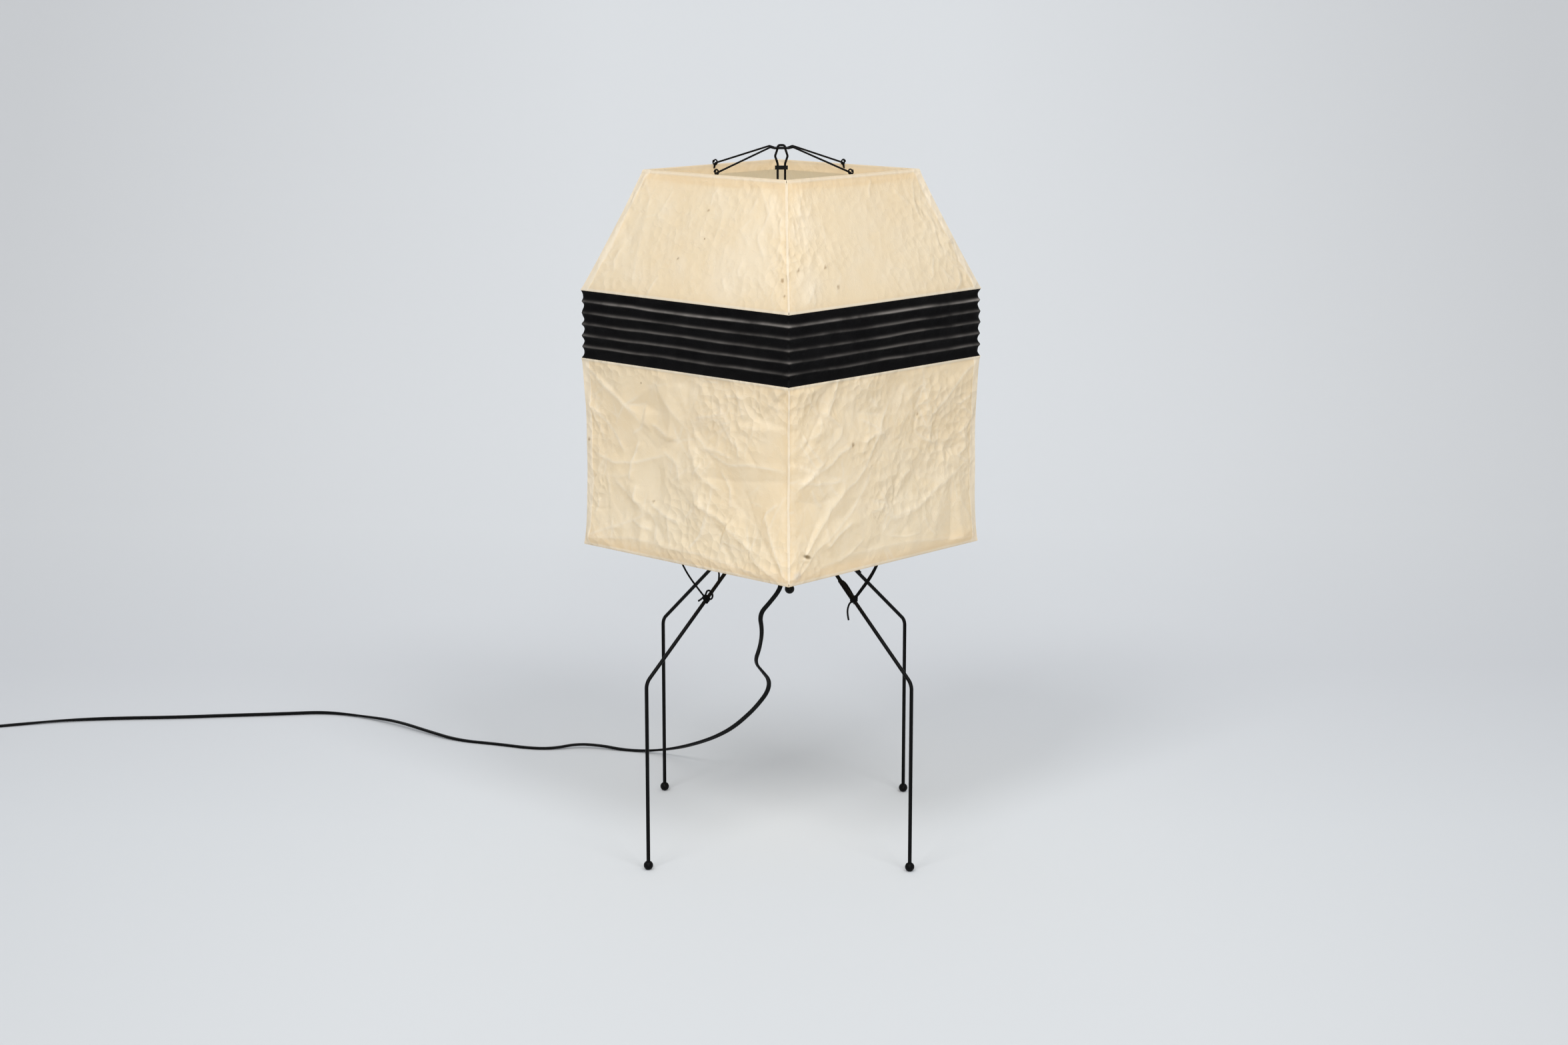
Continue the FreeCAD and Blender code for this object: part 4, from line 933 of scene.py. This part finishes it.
def in_metres(table, is_mirrored):
    """A face's creases with shares and metres for the table's units, as they are or seen in a mirror."""
    made = []
    for points, rise, reach in table:
        shares = [(x / 100, y / 100) for x, y in points]
        if is_mirrored:
            shares = [(1 - share, level) for share, level in shares]
        made.append((shares, rise / 10000, reach / 10000))
    return made


def make_walls():
    """The lower and upper paper of each face. The right and back ones mirror the left and front ones."""
    lower = (LOWER_LEFT_CREASES, LOWER_FRONT_CREASES)
    upper = (UPPER_LEFT_CREASES, UPPER_FRONT_CREASES)
    for face, (side, angle) in enumerate(FACES):
        creases = in_metres(lower[face % 2], face > 1)
        wall(face, "shade_skirt", (BOTTOM, BAND_FOOT), (HALF, HALF), LOWER_DRAW, creases, True)
        creases = in_metres(upper[face % 2], face > 1)
        wall(face, "shade_top", (SHOULDER, TOP), (HALF, TOP_HALF), UPPER_DRAW, creases, False)


def make_band():
    """The black band: paper drawn in between its ribs, slack between the corners and bunched at them."""
    pitch = (SHOULDER - BAND_FOOT) / PLEATS
    levels = np.linspace(0, PLEATS, PLEATS * BAND_STEPS + 1)
    shares = np.linspace(-1, 1, BAND_COLUMNS + 1)[:-1]
    dip = np.sqrt(np.sin(pi * levels) ** 2 + RIDGE_ROUND ** 2) - RIDGE_ROUND
    # Each ridge's painted highlight grows near the corners, where the paper bunches.
    ends = np.tile(1 + CORNER_HIGHLIGHT * np.exp(-((1 - np.abs(shares)) / CORNER_HIGHLIGHT_WIDE) ** 2), len(FACES))
    rows, ridges = [], []
    for level, fall in zip(levels, dip):
        row = []
        held = min(1, 2 * level, 2 * (PLEATS - level))
        for side, (name, angle) in enumerate(FACES):
            turn = radians(angle)
            for share in shares:
                soft = min(1, 6 * (1 - abs(share)))
                spot = Vector((share * 4 + side * 9, level * 0.9, 0.5))
                depth = BAND_CORNER_DEPTH + (BAND_DEPTH - BAND_CORNER_DEPTH) * soft
                wave = noise.noise(spot * 2.3)
                bunched = exp(-((1 - abs(share)) / PUCKER_WIDE) ** 2)
                pucker = PUCKER * bunched * noise.noise(Vector((side * 5.1 + share, level * 2.7, 2.5)))
                reach = HALF - fall * (depth + BAND_WAVE * soft * wave) + held * pucker
                sideways = share * (HALF - fall * BAND_CORNER_DEPTH)
                slack = BAND_SLACK * soft * noise.noise(spot)
                slack -= BAND_SAG * (1 - share * share) * noise.noise(spot * 0.31)
                z = BAND_FOOT + pitch * level + held * slack
                row.append((reach * cos(turn) - sideways * sin(turn),
                            reach * sin(turn) + sideways * cos(turn), z))
        rows.append(row)
        ridges.append(ridge_highlight(level) * ends)
    mesh = grid_mesh("band", np.array(rows), closed=True, ridge=np.array(ridges))
    piece = show("band", mesh, "shade_top", "paper_black", "band_paper")
    thicken(piece)
    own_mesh(piece)


def ridge_highlight(level):
    """How strong the band's painted highlight is at a level: along its ridges, and most along the top one.
    """
    if not 0.5 < level < PLEATS - 0.5:
        return 0
    above = level - round(level)
    line = exp(-(above / (RIDGE_ABOVE if above > 0 else RIDGE_BELOW)) ** 2)
    return line if level > PLEATS - 1.5 else LOWER_RIDGE_HIGHLIGHT * line


def curve_mesh(name, lines, fineness, radius=0.0):
    """Smooth lines with these control points, or round strings along them, in one mesh."""
    curve = bpy.data.curves.new(name, "CURVE")
    curve.dimensions = "3D"
    if radius:
        curve.bevel_depth = radius
        curve.bevel_resolution = 3
        curve.use_fill_caps = True
    for points in lines:
        spline = curve.splines.new("NURBS")
        spline.points.add(len(points) - 1)
        for place, point in zip(spline.points, points):
            place.co = (*point, 1)
        spline.order_u = 3
        spline.use_endpoint_u = True
        spline.resolution_u = fineness
    holder = bpy.data.objects.new(name, curve)
    mesh = bpy.data.meshes.new_from_object(holder)
    mesh.name = name
    bpy.data.objects.remove(holder)
    bpy.data.curves.remove(curve)
    return mesh


def smooth_line(points):
    """A smooth line with these control points, as the points that it passes through."""
    mesh = curve_mesh("line", [points], LINE_FINENESS)
    line = [v.co.copy() for v in mesh.vertices]
    bpy.data.meshes.remove(mesh)
    return line


def heading(line, number):
    """The direction of a line at one of its points."""
    return (line[min(number + 1, len(line) - 1)] - line[max(number - 1, 0)]).normalized()


def coil_points():
    """The turns of the put-away length and its run to the plug, from the coil's and plug's own places."""
    low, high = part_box("cord_coil")
    centre = (low + high) / 2
    winding = (high.x - low.x) / 2 - CORD_WIDTH / 2 - COIL_ROOM
    tail_low, tail_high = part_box("cord_tail")
    leave_z = (tail_low.z + tail_high.z) / 2
    start_z = CORD_ROUTE[-1][2]
    points = []
    for number in range(round(COIL_TURNS * COIL_POINTS) + 1):
        turns = number / COIL_POINTS
        angle = radians(COIL_START_ANGLE + 360 * turns)
        second = min(1, max(0, (turns - COIL_SECOND) * 4))
        climb = max(0, turns - COIL_CLIMB) / (COIL_TURNS - COIL_CLIMB)
        reach = winding - (CORD_WIDTH + COIL_GAP) * second + COIL_OUT * climb
        z = start_z + (leave_z - start_z) * min(1, climb)
        points.append((centre.x + reach * cos(angle), centre.y + reach * sin(angle), z))
    way = radians(COIL_START_ANGLE + 360 * COIL_TURNS + 90)
    knee = Vector(points[-1]) + TAIL_RUN * level_way(way)
    way += radians(TAIL_TURN)
    end = knee + TAIL_RUN * level_way(way)
    return points + [tuple(knee), tuple(end)]


def twin_section():
    """The outline of a flat twin flex: two round cores side by side with a groove between them."""
    radius = CORD_THICK / 2
    section = []
    for side, start in ((1, -120), (-1, 60)):
        for step in range(9):
            turn = radians(start + 30 * step)
            middle = side * (CORD_WIDTH / 2 - radius)
            section.append((middle + radius * cos(turn), radius * sin(turn)))
    return section


def make_cord():
    """The flat flex, in one line from its grip to its plug, rolled a little where it hangs and lies."""
    line = smooth_line(CORD_ROUTE + coil_points())
    to_right = Vector((-CAMERA_PLACE.y, CAMERA_PLACE.x, 0)).normalized()
    section = twin_section()
    gone = 0.0
    rings = []
    for number, point in enumerate(line):
        gone += (point - line[max(number - 1, 0)]).length
        ahead = heading(line, number)
        level = Vector((ahead.y, -ahead.x, 0))
        lies = min(1, gone / CORD_LANDS) ** 2
        wide = to_right * (1 - lies) + level * lies
        wide = (wide - ahead * wide.dot(ahead)).normalized()
        roll = radians(np.interp(gone, ROLL_PLACES, ROLL_ANGLES))
        wide = wide * cos(roll) + ahead.cross(wide) * sin(roll)
        thick = ahead.cross(wide)
        rings.append([point + wide * x + thick * y for x, y in section])
    mesh = grid_mesh("cord", np.array(rings), closed=True, capped=True)
    cord = show("cord", mesh, "stand", "cord_black", "cord_lead", "cord_coil", "cord_tail")


def make_strings():
    """The strings that tie the shade down, wound and knotted round the legs."""
    for side, angle in FACES:
        turn = radians(angle + LEG_TURN)
        out = level_way(turn)
        along = Vector((-sin(turn), cos(turn), 0))
        lines = string_lines(out, along, side in ("front", "back"))
        mesh = curve_mesh(f"string_{side}", lines, STRING_FINENESS, STRING)
        piece = show(f"string_{side}", mesh, "shade_skirt", "string_black", f"tie_{side}")
        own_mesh(piece)


def string_lines(out, along, is_double):
    """One tie: the string from the hem down to the leg, its wraps and knot, its loop and its loose end."""
    up = Vector((0, 0, 1))
    slope = out * LEG_SLOPE.x + up * LEG_SLOPE.z
    square = out * -LEG_SLOPE.z + up * LEG_SLOPE.x
    knot = out * KNOT_REACH + up * KNOT_HEIGHT

    def by_knot(onward, aside, off, rise=0.0):
        return knot + slope * onward + along * aside + square * off + up * rise

    lines = []
    for offset in ((-PAIR_APART, PAIR_APART) if is_double else (0,)):
        hung = [out * reach + along * (offset * share) + up * z for reach, share, z in HANG]
        lines.append(hung + [by_knot(0, offset * HANG_END[0], HANG_END[1])])
    wraps = []
    reach = LEG_RADIUS + STRING
    for number in range(round(WRAPS * WRAP_POINTS) + 1):
        angle = 2 * pi * number / WRAP_POINTS
        onward = (number / WRAP_POINTS - WRAPS / 2) * WRAP_PITCH * STRING
        wraps.append(by_knot(onward, reach * sin(angle), reach * cos(angle)))
    lines.append(wraps)
    if is_double:
        lines.append([by_knot(*place) for place in LONG_LOOP])
        lines.append([by_knot(*place) for place in LONG_END])
    else:
        bow = [by_knot(0, 0, BOW_START)]
        for number in range(BOW_POINTS):
            angle = radians(BOW_FROM + BOW_STEP * number)
            aside = BOW_PLACE[0] + BOW_SIZE[0] * cos(angle)
            bow.append(by_knot(0, aside, BOW_OFF, BOW_PLACE[1] + BOW_SIZE[1] * sin(angle)))
        lines.append(bow + [by_knot(0, 0, BOW_CLOSE)])
        lines.append([by_knot(*place) for place in BOW_END])
    ball = []
    for number in range(KNOT_POINTS):
        angle = 2 * pi * number / KNOT_TURN
        tilt = 2 * pi * number / KNOT_POINTS
        ball.append(by_knot(KNOT_ROUND * sin(angle) * cos(tilt), KNOT_ROUND * cos(angle),
                            KNOT_OFF + KNOT_ROUND * sin(angle) * sin(tilt)))
    return lines + [ball]


def make_eyelets():
    """The small wire eyes at the ends of the arms, round the top rim."""
    for side, angle in FACES:
        low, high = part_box(f"spider_arm_{side}")
        out = level_way(radians(angle))
        end = max(abs(low.dot(out)), abs(high.dot(out)))
        centre = out * (end - EYELET - EYELET_WIRE) + Vector((0, 0, TOP + EYELET_RISE))
        ring = []
        for number in range(EYELET_POINTS):
            angle = 2 * pi * number / EYELET_ROUND
            aside = Vector((-out.y, out.x, 0)) * (number / EYELET_POINTS - 0.5) * 2 * EYELET_WIRE
            ring.append(centre + EYELET * (out * cos(angle) + Vector((0, 0, sin(angle)))) + aside)
        mesh = curve_mesh(f"eyelet_{side}", [ring], STRING_FINENESS, EYELET_WIRE)
        show(f"eyelet_{side}", mesh, "shade_top", "wire_black")


def finish_solids():
    """Gives each solid the finish of its slot in the record."""
    for row in frame["record"]["subparts"]:
        solid = nodes[row["node"]]
        solid.data.materials.clear()
        solid.data.materials.append(MATERIALS[row["material_slot"]])


def measured(tree, way):
    """How far each place lies along a direction."""
    place = node(tree, "ShaderNodeTexCoord").outputs["Object"]
    return node(tree, "ShaderNodeVectorMath", {0: place, 1: way}, operation="DOT_PRODUCT").outputs["Value"]


def make_stage():
    """A pale floor that sweeps up behind the lamp, with the light's fall-off painted into its colour, and
    is clear when seen from behind.
    """
    ahead = Vector((CAMERA_LOOK.x, CAMERA_LOOK.y, 0)).normalized()
    aside = Vector((ahead.y, -ahead.x, 0))
    profile = [(STAGE_NEAR, 0), (STAGE_BACK - SWEEP, 0)]
    for step in range(1, SWEEP_STEPS + 1):
        turn = radians(90 * step / SWEEP_STEPS)
        profile.append((STAGE_BACK - SWEEP + SWEEP * sin(turn), SWEEP * (1 - cos(turn))))
    profile.append((STAGE_BACK, STAGE_HIGH))
    rows = []
    for depth, z in profile:
        rows.append([ahead * depth + aside * side * STAGE_WIDE + Vector((0, 0, z)) for side in (-1, 1)])
    mesh = grid_mesh("stage", np.array(rows))
    made, tree, surface = new_material("stage", FLOOR_TONES[0][1], 0.9, Specular_IOR_Level=0.1)
    first, last = FLOOR_TONES[0][0], FLOOR_TONES[-1][0]
    ramp = node(tree, "ShaderNodeValToRGB", {"Fac": spread(tree, measured(tree, ahead), first, last)})
    stops = ramp.color_ramp.elements
    for stop, colour in FLOOR_TONES[1:-1]:
        stops.new((stop - first) / (last - first)).color = rgba(colour)
    stops[0].color = rgba(FLOOR_TONES[0][1])
    stops[-1].color = rgba(FLOOR_TONES[-1][1])
    # Darker towards the sides: painted shade.
    far_side = spread(tree, math_node(tree, "ABSOLUTE", measured(tree, aside)), SIDES_FROM, SIDES_TO)
    shaded = mixed(tree, far_side, ramp.outputs["Color"], FLOOR_SIDE_SHADE, blend="MULTIPLY")
    tree.links.new(shaded, surface.inputs["Base Color"])
    behind = node(tree, "ShaderNodeNewGeometry").outputs["Backfacing"]
    two_shaders(tree, behind, surface, node(tree, "ShaderNodeBsdfTransparent"))
    mesh.materials.append(made)
    floor = placed("stage", mesh)


def make_light():
    """Plain soft studio light: an even surround, two broad lamps above and a weak one in front."""
    world = bpy.data.worlds.new("surround")
    world.use_nodes = True
    world.node_tree.nodes["Background"].inputs["Color"].default_value = rgba(WORLD_COLOUR)
    world.node_tree.nodes["Background"].inputs["Strength"].default_value = WORLD_STRENGTH
    bpy.context.scene.world = world
    front = atan2(CAMERA_PLACE.y, CAMERA_PLACE.x)
    for name, aside, height, size, power in LAMPS:
        turn, rise = front + radians(aside), radians(height)
        outward = Vector((cos(turn) * cos(rise), sin(turn) * cos(rise), sin(rise)))
        light = bpy.data.lights.new(name, "AREA")
        light.size = size
        light.energy = power
        lamp = placed(name, light)
        lamp.location = LAMP_AIM + outward * LAMP_AWAY
        lamp.rotation_euler = outward.to_track_quat("Z", "Y").to_euler()


def make_camera():
    camera = bpy.data.cameras.new("camera")
    camera.lens = CAMERA_LENS
    camera.sensor_width = SENSOR_WIDTH
    holder = placed("camera", camera)
    holder.location = CAMERA_PLACE
    holder.rotation_euler = CAMERA_LOOK.to_track_quat("-Z", "Y").to_euler()
    bpy.context.scene.camera = holder


MATERIALS = make_materials()
make_camera()
make_cord()
finish_solids()
make_walls()
make_band()
make_strings()
make_eyelets()
make_stage()
make_light()
bpy.context.scene.view_settings.view_transform = "Standard"
